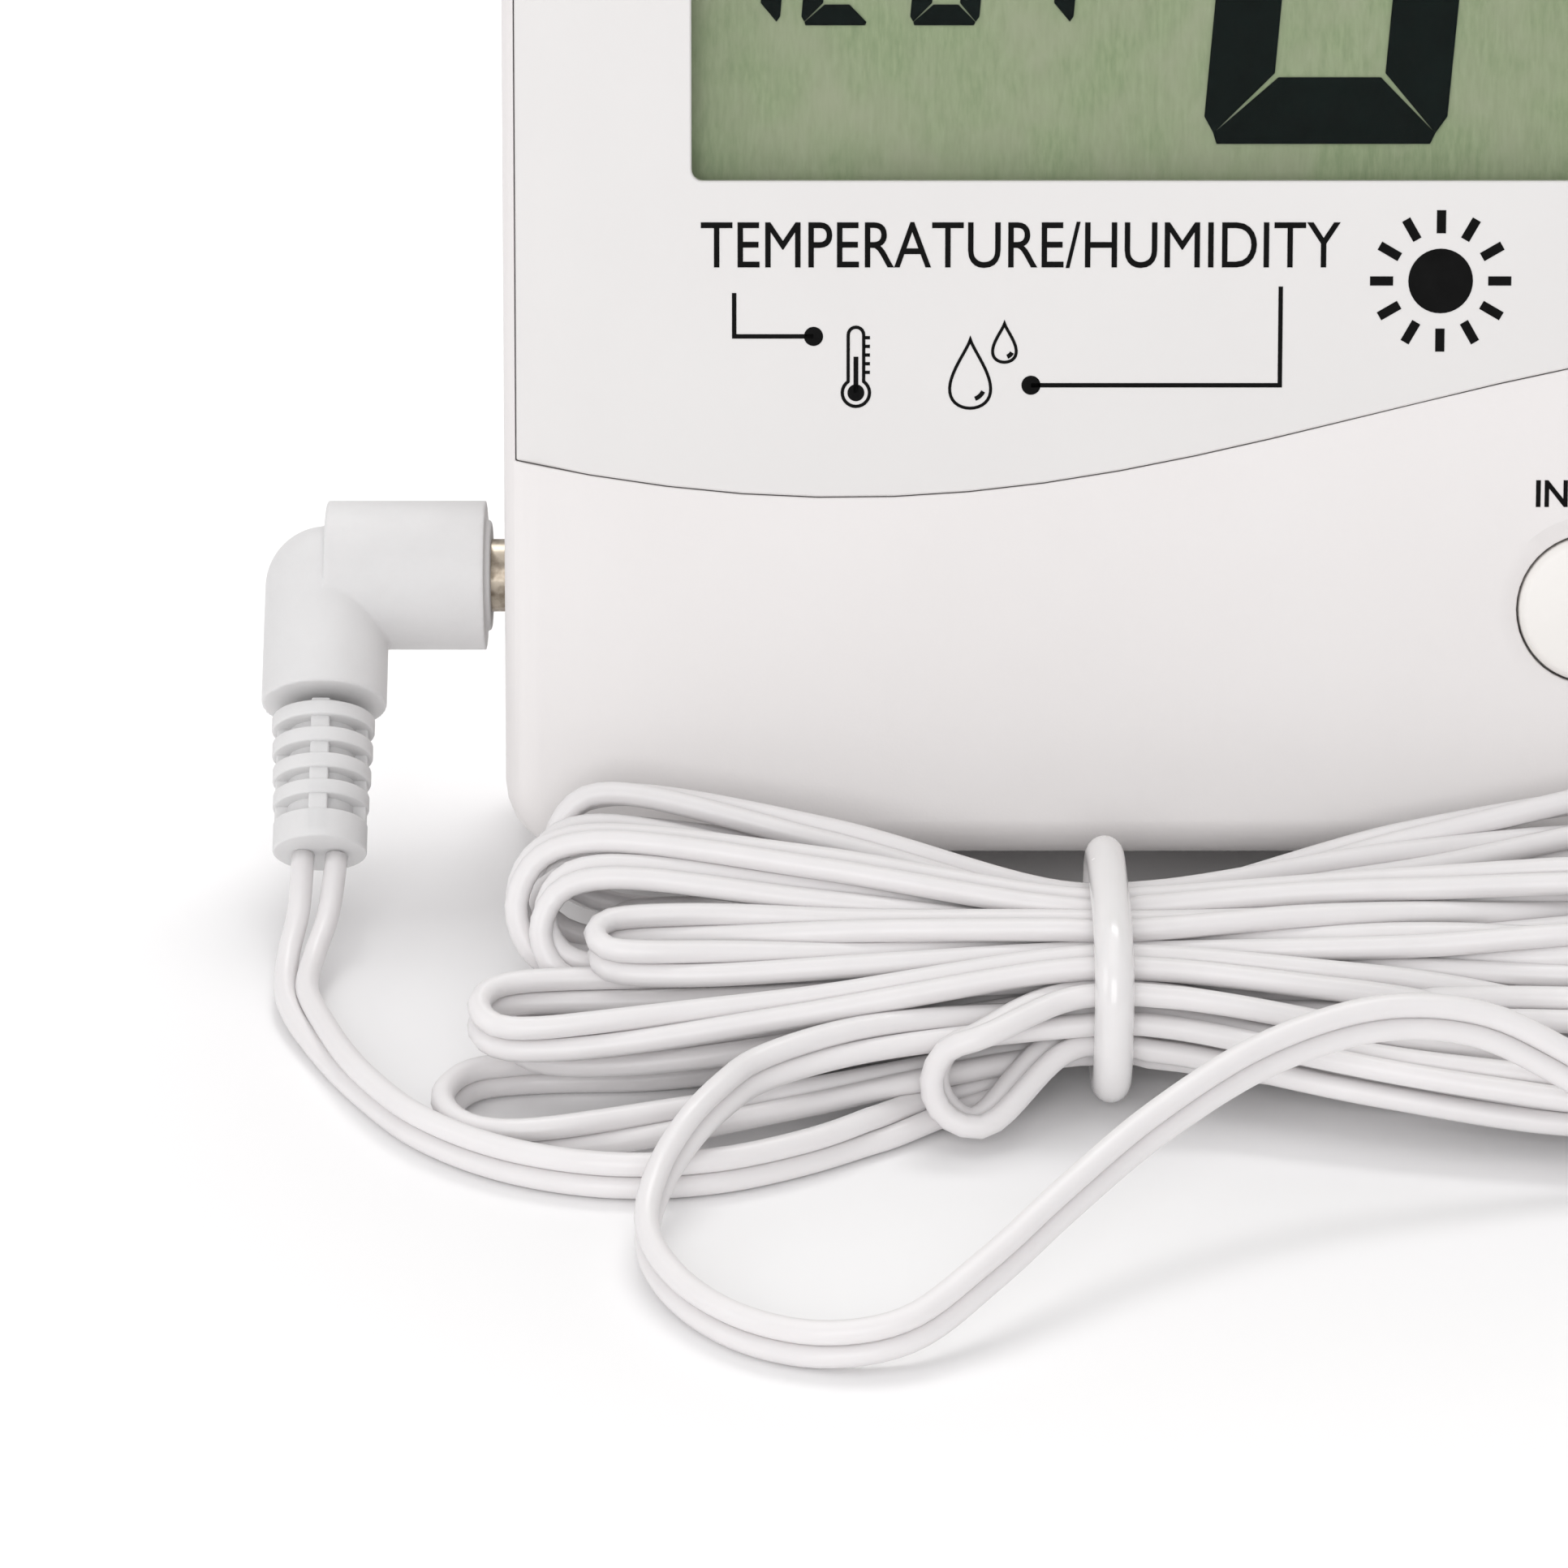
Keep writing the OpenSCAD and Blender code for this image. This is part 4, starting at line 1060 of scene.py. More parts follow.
@dataclass
class Print:
    """The black print on the face plate and on the lower panel."""

    line: float = 0.24
    fine_line: float = 0.18
    drop_line: float = 0.168
    raise_by: float = 0.025
    sink: float = 0.01
    heading: Label = Label("TEMPERATURE/HUMIDITY", 10.8, 32.2, 34.6, 2.5)
    drops: tuple[tuple[float, ...], ...] = ((25.4, 24.6, 2.6, 3.75), (27.25, 27.1, 1.5, 2.1))
    bulb_at: Flat = (19.2, 24.7)
    sun_at: Flat = (50.85, 31.5)
    leaders: tuple[tuple[Flat, ...], ...] = (((12.6, 30.85), (12.6, 28.5), (16.9, 28.5)),
                                             ((42.2, 31.2), (42.2, 25.85), (28.7, 25.85)))
    leader_dot: float = 0.52
    names: tuple[tuple[str, str, float], ...] = (("button_in_out", "IN/OUT", 6.4),
                                                 ("button_max_min", "MAX/MIN", 8.2),
                                                 ("button_reset", "RESET", 5.8))
    name_s: float = 19.2
    name_h: float = 1.5
    name_weight: float = 0.018

    def drop(self, ink: Ink, u: float, s: float, width: float, height: float) -> None:
        """Draws a water drop's outline and its glint.

        Args:
            ink: where it is drawn.
            u: its middle.
            s: its foot.
            width: its width.
            height: its height.
        """
        turns = [2 * math.pi * k / 44 for k in range(44)]
        ink.stroke([(u + 0.62 * width * math.sin(t) * math.sin(t / 2) ** 1.6,
                     s + height / 2 + height / 2 * math.cos(t)) for t in turns], self.drop_line, closed=True)
        ink.stroke(arc((u, s + width * 0.48), width * 0.3, -70, -25, 5), self.line)

    def bulb(self, ink: Ink, u: float, s: float) -> None:
        """Draws a small thermometer with a filled bulb and column and five marks.

        Args:
            ink: where it is drawn.
            u: its middle.
            s: its foot.
        """
        stem, bulb_r, filled_r, column, tall, full = 0.42, 0.74, 0.46, 0.13, 4.3, 2.7
        first_mark, mark_step, mark = 1.85, 0.47, 0.34
        foot = s + bulb_r
        flare = math.degrees(math.acos(stem / bulb_r))
        outline = arc((u, foot), bulb_r, flare, -180 - flare, 22)
        outline += arc((u, s + tall - stem), stem, 180, 0, 10)
        ink.stroke(outline, self.fine_line, closed=True)
        ink.disc(u, foot, filled_r)
        ink.shape([(u - column, foot), (u + column, foot), (u + column, s + full), (u - column, s + full)])
        for k in range(5):
            y = s + first_mark + mark_step * k
            ink.stroke([(u + stem, y), (u + stem + mark, y)], self.fine_line)

    def sun(self, axes: CaseAxes, u: float, s: float) -> bpy.types.Object:
        """Makes a plain sun picture: a disc with rays instanced around it.

        Args:
            axes: the case's axes.
            u: its middle from the case's left edge.
            s: its middle above the case's lower edge.

        Returns:
            The finished piece.
        """
        draft = NodesDraft("sun_picture", PRINT_BLACK)
        rays = draft.give("Rays", "Int", 12)
        reach = draft.give("Ray Middle", "Float", 3.2)
        ray = draft.give("Ray Size", "Vector", (1.25, 0.5, self.raise_by + self.sink))
        disc = draft.give("Disc Radius", "Float", 1.75)
        thick = draft.give("Thickness", "Float", self.raise_by + self.sink)
        circle = draft.node("GeometryNodeMeshCircle", {"Vertices": rays, "Radius": reach})
        spot = draft.node("GeometryNodeInputPosition")
        turn = draft.node("FunctionNodeAlignEulerToVector", {"Vector": spot.outputs[0]}, axis="X")
        bar = draft.node("GeometryNodeMeshCube", {"Size": ray})
        spread = draft.node("GeometryNodeInstanceOnPoints", {
            "Points": circle.outputs[0], "Instance": bar.outputs[0], "Rotation": turn.outputs[0]})
        middle = draft.node("GeometryNodeMeshCylinder", {"Vertices": 40, "Radius": disc, "Depth": thick})
        place = axes.matrix(axes.left + u, (self.sink - self.raise_by) / 2, s)
        piece = draft.bake(draft.join(spread, middle).outputs[0], place)
        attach(piece, "case")
        return piece

    def build(self, axes: CaseAxes) -> list[bpy.types.Object]:
        """Prints the words, lines and pictures.

        Args:
            axes: the case's axes.

        Returns:
            The print's piece and the sun's.
        """
        ink = Ink(axes, self.sink, self.raise_by + self.sink)
        ink.words(self.heading)
        for path in self.leaders:
            ink.stroke(list(path), self.line)
            ink.disc(*path[-1], self.leader_dot)
        self.bulb(ink, *self.bulb_at)
        for drop in self.drops:
            self.drop(ink, *drop)
        for node, text, width in self.names:
            low, high = axes.span(node)[0]
            left = (low + high) / 2 - axes.left - width / 2
            ink.words(Label(text, left, self.name_s, width, self.name_h, self.name_weight))
        return [ink.piece("panel_print", PRINT_BLACK, "case"), self.sun(axes, *self.sun_at)]


# ---------------------------------------------------------------- case


@dataclass
class Case:
    """The case's shells, face plate, leg and battery door."""

    shell_edge: float = 0.25
    plate_edge: float = 0.1
    rear_edge: float = 0.2

    def build(self) -> list[bpy.types.Object]:
        """Softens and dresses the case's own pieces.

        Returns:
            The finished pieces.
        """
        return [refined("front_shell", "front_shell_skin", CASE_WHITE, self.shell_edge),
                refined("face_plate", "face_plate_skin", PLATE_WHITE, self.plate_edge),
                refined("rear_cover", "rear_cover_skin", CASE_WHITE, self.rear_edge),
                refined("stand_leg", "stand_leg_skin", CASE_WHITE, self.rear_edge),
                refined("battery_door", "battery_door_skin", CASE_WHITE, self.rear_edge)]


@dataclass
class Buttons:
    """The three domed button caps."""

    edge: float = 0.45
    crown: float = 0.16
    seen: float = 0.45
    lip: float = 0.1
    nodes: tuple[str, ...] = ("button_in_out", "button_max_min", "button_reset")

    def cap(self, axes: CaseAxes, node: str) -> bpy.types.Object:
        """Turns one cap with a rounded edge and a slightly domed top.

        Args:
            axes: the case's axes.
            node: the cap it stands for.

        Returns:
            The finished cap.
        """
        (x0, x1), (d0, d1), (s0, s1) = axes.span(node)
        middle = ((x0 + x1) / 2, (s0 + s1) / 2)
        reach = [(math.dist((x, s), middle), d) for x, d, s in axes.read(node)]
        radius = max(far for far, d in reach if d < d0 + self.seen)
        step = min([d for far, d in reach if far > radius + self.lip] or [d1])
        flange = (x1 - x0) / 2
        top = -d0
        profile = [(0.0, top)]
        dome = radius - self.edge
        profile += [(dome * k / 6, top - self.crown * (k / 6) ** 2) for k in range(1, 6)]
        profile += [(x, y) for x, y in arc((dome, top - self.crown - self.edge), self.edge, 90, 0, 6)]
        if flange > radius + self.lip:
            profile += [(radius, -step), (flange, -step), (flange, -d1)]
        else:
            profile.append((radius, -d1))
        profile.append((0.0, -d1))
        piece = lathe(f"{node}_cap", profile, axes.matrix(middle[0], 0.0, middle[1]))
        BUTTON_CREAM.lay(piece)
        return stand_for(piece, node)

    def build(self, axes: CaseAxes) -> list[bpy.types.Object]:
        """Turns every cap."""
        return [self.cap(axes, node) for node in self.nodes]


# ---------------------------------------------------------------- plug and its relief


@dataclass
class Plug:
    """The moulded angled plug, its metal collar and its ribbed strain relief."""

    voxel: float = 0.13
    melt: int = 3
    slabs: int = 4
    slab: float = 0.86
    pitch: float = 1.55
    first: float = 1.3
    tail: float = 1.7
    rib_w: float = 1.05
    rib_reach: float = 0.97
    rib_short: float = 1.2
    core: float = 1.9
    core_short: float = 0.8
    tail_in: float = 0.15
    narrowed: float = 0.91
    edge: float = 0.12
    tilt: float = 49.0

    def body(self) -> bpy.types.Object:
        """Melts the plug's edges into one another, as a moulding's are.

        Returns:
            The finished moulding.
        """
        piece = copied("plug_body", "plug_moulding")
        remesh = piece.modifiers.new("melt", "REMESH")
        remesh.mode = "VOXEL"
        remesh.voxel_size = self.voxel * MM
        smooth = piece.modifiers.new("even", "SMOOTH")
        smooth.factor = 0.5
        smooth.iterations = self.melt
        settle(piece)
        piece.data.shade_smooth()
        PLUG_WHITE.lay(piece)
        return stand_for(piece, "plug_body")

    def relief(self, start: Vector, along: Vector, length: float, radii: Flat) -> bpy.types.Object:
        """Makes the relief: slabs in a row on a core, joined by four ribs.

        Args:
            start: where it leaves the plug, in millimetres.
            along: the way it points.
            length: its length.
            radii: its radius at the start and at the tail.

        Returns:
            The finished piece.
        """
        draft = NodesDraft("relief_ribs", PLUG_WHITE)
        count = draft.give("Slabs", "Int", self.slabs)
        offset = draft.give("Pitch", "Vector", (0.0, 0.0, self.pitch))
        radius = draft.give("Slab Radius", "Float", radii[0])
        slab = draft.give("Slab Thickness", "Float", self.slab)
        shrink = draft.give("Taper Per Slab", "Float", (radii[1] / radii[0] - 1) / self.slabs)
        core_r = draft.give("Core Radius", "Float", self.core)
        first = draft.give("First Slab", "Vector", (0.0, 0.0, self.first))
        tail = draft.give("Tail Thickness", "Float", self.tail)
        row = draft.node("GeometryNodeMeshLine", {"Count": count, "Offset": offset, "Start Location": first})
        disc = draft.node("GeometryNodeMeshCylinder", {"Vertices": 40, "Radius": radius, "Depth": slab})
        number = draft.node("GeometryNodeInputIndex")
        size = draft.node("ShaderNodeMath", {0: number.outputs[0], 1: shrink, 2: 1.0},
                          operation="MULTIPLY_ADD")
        scale = draft.node("ShaderNodeCombineXYZ", {"X": size.outputs[0], "Y": size.outputs[0], "Z": 1.0})
        slabs = draft.node("GeometryNodeInstanceOnPoints", {
            "Points": row.outputs[0], "Instance": disc.outputs[0], "Scale": scale.outputs[0]})
        core = draft.node("GeometryNodeMeshCylinder", {"Vertices": 24, "Radius": core_r,
                                                         "Depth": length - self.core_short})
        foot = draft.node("GeometryNodeMeshCylinder", {"Vertices": 40, "Radius": radii[1], "Depth": tail})
        end = draft.node("GeometryNodeTransform", {0: foot.outputs[0],
                                                   "Translation": (0.0, 0.0, length - self.tail_in
                                                                   - self.tail / 2)})
        reach = radii[1] * self.rib_reach
        ring = draft.node("GeometryNodeMeshCircle", {"Vertices": 4, "Radius": reach / 2})
        spot = draft.node("GeometryNodeInputPosition")
        turn = draft.node("FunctionNodeAlignEulerToVector", {"Vector": spot.outputs[0]}, axis="X")
        rib = draft.node("GeometryNodeMeshCube", {"Size": (reach, self.rib_w, length - self.rib_short)})
        ribs = draft.node("GeometryNodeInstanceOnPoints", {
            "Points": ring.outputs[0], "Instance": rib.outputs[0], "Rotation": turn.outputs[0]})
        lifted = draft.node("GeometryNodeTransform", {0: draft.join(ribs, core).outputs[0],
                                                      "Translation": (0.0, 0.0, length / 2)})
        side = Vector((1, 0, 0))
        turned = Matrix((side, along.cross(side), along)).transposed().to_4x4()
        turned.translation = start
        piece = draft.bake(draft.join(slabs, lifted, end).outputs[0], turned, self.edge)
        return stand_for(piece, "strain_relief")

    def build(self) -> list[bpy.types.Object]:
        """Finds the relief's axis, and makes the plug's pieces.

        Returns:
            The moulding and the relief.
        """
        low, high = (Vector(c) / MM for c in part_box("strain_relief"))
        along = Vector((0, -math.sin(math.radians(self.tilt)), -math.cos(math.radians(self.tilt))))
        points = [v.co / MM for v in frame["nodes"]["strain_relief"].data.vertices]
        reach = [p.dot(along) for p in points]
        centre = (low + high) / 2
        axis_y = centre - centre.dot(along) * along
        start, end = axis_y + min(reach) * along, axis_y + max(reach) * along
        outer = max((p - axis_y - p.dot(along) * along + axis_y.dot(along) * along).length for p in points)
        COLLAR_METAL.lay(frame["nodes"]["plug_collar"])
        return [self.body(), self.relief(start, along, (end - start).length, (outer, outer * self.narrowed))]


# ---------------------------------------------------------------- tie


@dataclass
class Tie:
    """The round plastic band about the hank."""

    rod: float = 1.1
    flatness: float = 0.94
    power: float = 3.0
    rings: int = 96
    sides: int = 20

    def build(self) -> bpy.types.Object:
        """Sweeps the band's round section along a rounded oval.

        Returns:
            The finished band.
        """
        low, high = (Vector(c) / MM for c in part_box("hank_tie"))
        middle = (low + high) / 2
        half_y, half_z = (high.y - low.y) / 2 - self.rod, (high.z - low.z) / 2 - self.rod
        path = []
        for k in range(self.rings):
            t = 2 * math.pi * k / self.rings
            c, n = math.cos(t), math.sin(t)
            path.append(Vector((middle.x, middle.y + half_y * math.copysign(abs(c) ** (2 / self.power), c),
                                middle.z + half_z * math.copysign(abs(n) ** (2 / self.power), n))))
        verts, faces = [], []
        for k, spot in enumerate(path):
            ahead = (path[(k + 1) % self.rings] - path[k - 1]).normalized()
            out = ahead.cross(Vector((1, 0, 0)))
            for i in range(self.sides):
                a = 2 * math.pi * i / self.sides
                reach = self.flatness * math.cos(a) * Vector((1, 0, 0)) + math.sin(a) * out
                verts.append(tuple(spot + self.rod * reach))
        for k in range(self.rings):
            for i in range(self.sides):
                a, b = k * self.sides + i, k * self.sides + (i + 1) % self.sides
                j = (k + 1) % self.rings * self.sides
                faces.append((a, b, j + (i + 1) % self.sides, j + i))
        piece = mesh_object("hank_band", verts, faces)
        clean(piece.data, 1e-7, outwards=True)
        TIE_WHITE.lay(piece)
        return stand_for(piece, "hank_tie")


# ---------------------------------------------------------------- what the case holds


FINISH_OF_SLOT: dict[str, Finish] = {finish.name: finish for finish in (
    CASE_WHITE, PLATE_WHITE, BUTTON_CREAM, PLUG_WHITE, LEAD_WHITE, TIE_WHITE, LENS_CLEAR, LCD_GLASS,
    REFLECTOR, BOARD_GREEN, EPOXY_BLACK, PART_BLACK, PART_TAN, FRAME_GREY, SENSOR_WHITE, BEAD_ORANGE,
    ZEBRA_RUBBER, WIRE_RED, CELL_WRAP, STEEL, BRASS)}


class Works:
    """The electronics, contacts, cell, screws and metal parts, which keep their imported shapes."""

    def build(self) -> None:
        """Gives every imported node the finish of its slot."""
        for node, slot in SLOT_OF.items():
            FINISH_OF_SLOT[slot].lay(frame["nodes"][node])


@dataclass
class Probe:
    """The outdoor probe at the lead's end."""

    edge: float = 0.5
    neck_edge: float = 0.15

    def build(self) -> list[bpy.types.Object]:
        """Rounds and dresses the probe's body, metal tip and neck.

        Returns:
            The finished pieces.
        """
        return [refined("probe_body", "probe_moulding", PLUG_WHITE, self.edge),
                refined("probe_tip", "probe_cap", STEEL, self.edge),
                refined("probe_relief", "probe_neck", PLUG_WHITE, self.neck_edge)]


# ---------------------------------------------------------------- the lead


@dataclass(frozen=True)
class Fold:
    """Where the lead turns back on itself in the hank.

    x is the end of the fold, y and z its middle, half its radius, tilt the fold plane's slope in degrees and
    twist how far the lead's width turns from square to that plane at the fold's end.
    """

    x: float
    y: float
    z: float
    half: float
    tilt: float
    twist: float = 0.0


@dataclass
class Lead:
    """The twin lead from the plug, through the tied hank, to the probe."""

    strand: float = 1.25
    width: float = 2.5
    length: float = 1.8
    step: float = 0.75
    sides: int = 10
    rounds: int = 240
    tail_reach: float = 0.4
    quick_rounds: int = 40
    clear: float = 0.03
    look_every: int = 5
    near: float = 2.3
    crowding: float = 0.3
    off: float = 0.02
    case_gap: float = 0.15
    in_tie: float = 1.6
    tie_straight: float = 2.5
    tie_rod: float = 2.0
    long_arm: float = 8.0
    arm_x: float = 0.45
    arm_yz: float = 0.4
    slack: float = 1.02
    first_end: Flat = (-46.0, 1.2)
    last_end: Flat = (-46.0, 3.0)
    fan_y: float = 1.2
    fan_z: float = 1.35
    lowest: float = 1.4
    right_x: float = 16.2
    right_step: float = 1.7
    right_half: float = 2.3
    right_more: float = 0.3
    fine: int = 12
    past_case: Flat = (-53.0, 20.0)
    skin: float = 0.015
    enter: Point = (-27.2, -46.8, 1.3)
    leave: Point = (-30.4, -46.4, 5.2)
    parting: float = 0.62
    parted: float = 11.0
    from_plug: tuple[Point, ...] = (
        (-0.0606, -0.0274, 0.0029), (-0.0611, -0.0304, 0.0018), (-0.0611, -0.034, 0.0014),
        (-0.0594, -0.039, 0.0013), (-0.057, -0.044, 0.0013), (-0.0536, -0.0488, 0.0013),
        (-0.049, -0.0522, 0.0013), (-0.0436, -0.0538, 0.0013), (-0.0384, -0.0534, 0.0013),
        (-0.0336, -0.0514, 0.0013), (-0.03, -0.049, 0.0013))
    to_probe: tuple[Point, ...] = (
        (-0.036, -0.049, 0.0048), (-0.0376, -0.051, 0.0047), (-0.0394, -0.0538, 0.0042),
        (-0.041, -0.057, 0.003), (-0.0416, -0.061, 0.0019), (-0.04, -0.0654, 0.0014),
        (-0.0366, -0.0692, 0.0013), (-0.0326, -0.0708, 0.0014), (-0.0286, -0.0704, 0.002),
        (-0.0246, -0.0674, 0.0036), (-0.0206, -0.0634, 0.0054), (-0.016, -0.059, 0.0072),
        (-0.01, -0.0548, 0.009), (-0.004, -0.0522, 0.0096), (0.001, -0.0514, 0.0088),
        (0.005, -0.0514, 0.0068), (0.009, -0.052, 0.0044), (0.013, -0.0526, 0.0024),
        (0.0174, -0.0524, 0.0014), (0.0216, -0.0506, 0.0016))
    left_folds: tuple[Fold, ...] = (
        Fold(-52.4, -46.3, 1.6, 3.8, 4), Fold(-49.6, -38.5, 2.2, 2.7, 6), Fold(-48.4, -34.2, 5.6, 2.9, 60),
        Fold(-47.9, -32.8, 7.2, 3.0, 66), Fold(-47.2, -31.6, 8.6, 2.9, 68), Fold(-44.5, -36.6, 5.6, 2.0, 40),
        Fold(-49.0, -37.2, 7.9, 3.4, 60), Fold(-47.4, -38.9, 7.9, 2.8, 60), Fold(-44.6, -41.0, 7.7, 1.4, 10),
        Fold(-50.7, -44.2, 5.4, 2.1, 8), Fold(-48.8, -42.4, 3.4, 2.2, 8),
        Fold(-27.0, -47.6, 3.3, 2.3, 78, 60))
    rows: tuple[int, ...] = (5, 5, 5, 5, 4, 2)

    def __post_init__(self) -> None:
        """Reads the plug's end, the probe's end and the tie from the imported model."""
        low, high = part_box("hank_tie")
        self.tie_centre = ((low[1] + high[1]) / 2 / MM, (low[2] + high[2]) / 2 / MM)
        self.tie_half = tuple((high[k] - low[k]) / 2 / MM - self.tie_rod for k in (1, 2))
        self.tie_x = (low[0] + high[0]) / 2 / MM
        low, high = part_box("strain_relief")
        along = Vector((0, low[1] - high[1], low[2] - high[2])).normalized()
        relief = sorted((v.co for v in frame["nodes"]["strain_relief"].data.vertices), key=along.dot)
        tail = [p for p in relief if along.dot(relief[-1]) - along.dot(p) < self.tail_reach * MM]
        self.exit = tuple(sum(tail, Vector()) / len(tail))
        low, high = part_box("probe_relief")
        self.goal = (low[0], (low[1] + high[1]) / 2, (low[2] + high[2]) / 2)

    def slots(self) -> list[tuple[float, float]]:
        """Shares out the room inside the tie.

        Returns:
            The places' y and z, in rows from the floor up.
        """
        places = []
        count = len(self.rows)
        for k, size in enumerate(self.rows):
            z = self.tie_centre[1] + (k - (count - 1) / 2) * self.strand
            for i in range(size):
                places.append((self.tie_centre[0] + (i - (size - 1) / 2) * self.width * self.slack, z))
        return places

    def right_folds(self) -> list[Fold]:
        """Works out the folds at the right end, each between two of the left ones and fanned outwards.

        Returns:
            The folds, in the lead's order.
        """
        ends = [self.first_end] + [(f.y, f.z) for f in self.left_folds] + [self.last_end]
        folds = []
        for i in range(len(ends) - 1):
            (y0, z0), (y1, z1) = ends[i], ends[i + 1]
            y, z = (y0 + y1) / 2, (z0 + z1) / 2
            y = self.tie_centre[0] + self.fan_y * (y - self.tie_centre[0])
            z = max(self.tie_centre[1] + self.fan_z * (z - self.tie_centre[1]), self.lowest)
            tilt = math.degrees(math.atan2(z1 - z0, y1 - y0)) % 180.0
            folds.append(Fold(self.right_x - self.right_step * (i % 4), y, z,
                              self.right_half + self.right_more * (i % 3), tilt))
        return folds

    def run_order(self, lefts: list[Point], rights: list[Point]) -> list[tuple[float, float]]:
        """Gives each run the free place in the tie nearest to where it wants to pass.

        Args:
            lefts: the left end of each run.
            rights: the right end of each run.

        Returns:
            One (y, z) place in the tie for each run.
        """
        free = self.slots()
        wish = [((a[1] + b[1]) / 2, (a[2] + b[2]) / 2) for a, b in zip(lefts, rights)]
        far = sorted(range(len(wish)), key=lambda i: -math.dist(wish[i], self.tie_centre))
        chosen: dict[int, tuple[float, float]] = {}
        for i in far:
            best = min(free, key=lambda place: math.dist(place, wish[i]))
            free.remove(best)
            chosen[i] = best
        return [chosen[i] for i in range(len(wish))]

    def hank_points(self) -> tuple[list[Point], list[Point]]:
        """Lays the hank's runs and folds, and the way the lead's width points at each.

        Returns:
            The guide points in millimetres, and the width's direction at each.
        """
        rights = self.right_folds()
        turns: list[tuple[str, Fold]] = []
        for i, fold in enumerate(self.left_folds):
            turns += [("right", rights[i]), ("left", fold)]
        turns.append(("right", rights[-1]))

        def arms(side: str, fold: Fold, towards: Flat) -> tuple[Point, Point]:
            """Finds the first and the last point of a fold.

            Args:
                side: left or right.
                fold: the fold.
                towards: y and z of where the lead comes from.

            Returns:
                The end nearer to where the lead comes from, and the other.
            """
            lean = math.radians(fold.tilt)
            dy, dz = fold.half * math.cos(lean), fold.half * math.sin(lean)
            x = fold.x + fold.half * (1 if side == "left" else -1)
            one, two = (x, fold.y - dy, fold.z - dz), (x, fold.y + dy, fold.z + dz)
            if math.dist(one[1:], towards) <= math.dist(two[1:], towards):
                return one, two
            return two, one

        came = self.enter[1:]
        pairs = []
        for side, fold in turns:
            first, last = arms(side, fold, came)
            pairs.append((side, fold, first, last))
            came = last[1:]
        starts = [self.enter] + [p[3] for p in pairs]
        ends = [p[2] for p in pairs] + [self.leave]
        places = self.run_order([min(a, b) for a, b in zip(starts, ends)],
                                [max(a, b) for a, b in zip(starts, ends)])
        points: list[Point] = [self.enter]
        widths: list[Point] = [(0.0, 1.0, 0.0)]

        def bend(end: Point, y: float, z: float) -> None:
            """Adds the point where a long arm turns towards its place in the tie.

            Args:
                end: the arm's outer end.
                y: where it passes through the tie.
                z: how high it passes through the tie.
            """
            points.append((end[0] + self.arm_x * (self.tie_x - end[0]), end[1] + self.arm_yz * (y - end[1]),
                           end[2] + self.arm_yz * (z - end[2])))
            widths.append((0.0, 1.0, 0.3))

        for i, (start, end) in enumerate(zip(starts, ends)):
            y, z = places[i]
            way = self.tie_straight if end[0] > start[0] else -self.tie_straight
            if abs(start[0] - self.tie_x) > self.long_arm:
                bend(start, y, z)
            points += [(self.tie_x - way, y, z), (self.tie_x + way, y, z)]
            widths += [(0.0, 1.0, 0.0)] * 2
            if abs(end[0] - self.tie_x) > self.long_arm and end is not self.leave:
                bend(end, y, z)
            if i < len(pairs):
                side, fold, first, last = pairs[i]
                lean = math.radians(fold.tilt)
                normal = Vector((0.0, -math.sin(lean), math.cos(lean)))
                out = -1 if side == "left" else 1
                middle = tuple((a + b) / 2 for a, b in zip(first, last))
                for turn in (0, 45, 90, 135, 180):
                    a = math.radians(turn)
                    points.append((middle[0] + out * fold.half * math.sin(a),
                                   middle[1] + (first[1] - middle[1]) * math.cos(a),
                                   middle[2] + (first[2] - middle[2]) * math.cos(a)))
                    swing = math.radians(fold.twist) * math.sin(a)
                    widths.append(tuple(math.cos(swing) * normal + math.sin(swing) * Vector((out, 0, 0))))
        points.append(self.leave)
        widths.append((0.0, 0.6, 0.8))
        return points, widths

    def guide(self) -> tuple[np.ndarray, np.ndarray, int, int]:
        """Joins the routes and the hank into one guide.

        Returns:
            Points in millimetres, width directions, and the numbers where the hank starts and ends.
        """
        start = [tuple(c / MM for c in self.exit)] + [tuple(c / MM for c in p) for p in self.from_plug]
        end = [tuple(c / MM for c in p) for p in self.to_probe] + [tuple(c / MM for c in self.goal)]
        hank, widths = self.hank_points()
        upright = (0.0, 0.1, 1.0)
        turning = [(1.0, 0.0, 0.0), (1.0, 0.1, 0.0), (1.0, 0.0, 0.15), (0.9, 0.0, 0.4), (0.5, 0.0, 0.9)]
        points = np.array(start + hank + end, dtype=float)
        ways = np.array(turning + [upright] * (len(start) - len(turning)) + widths + [upright] * len(end))
        return points, ways, len(start), len(start) + len(hank)

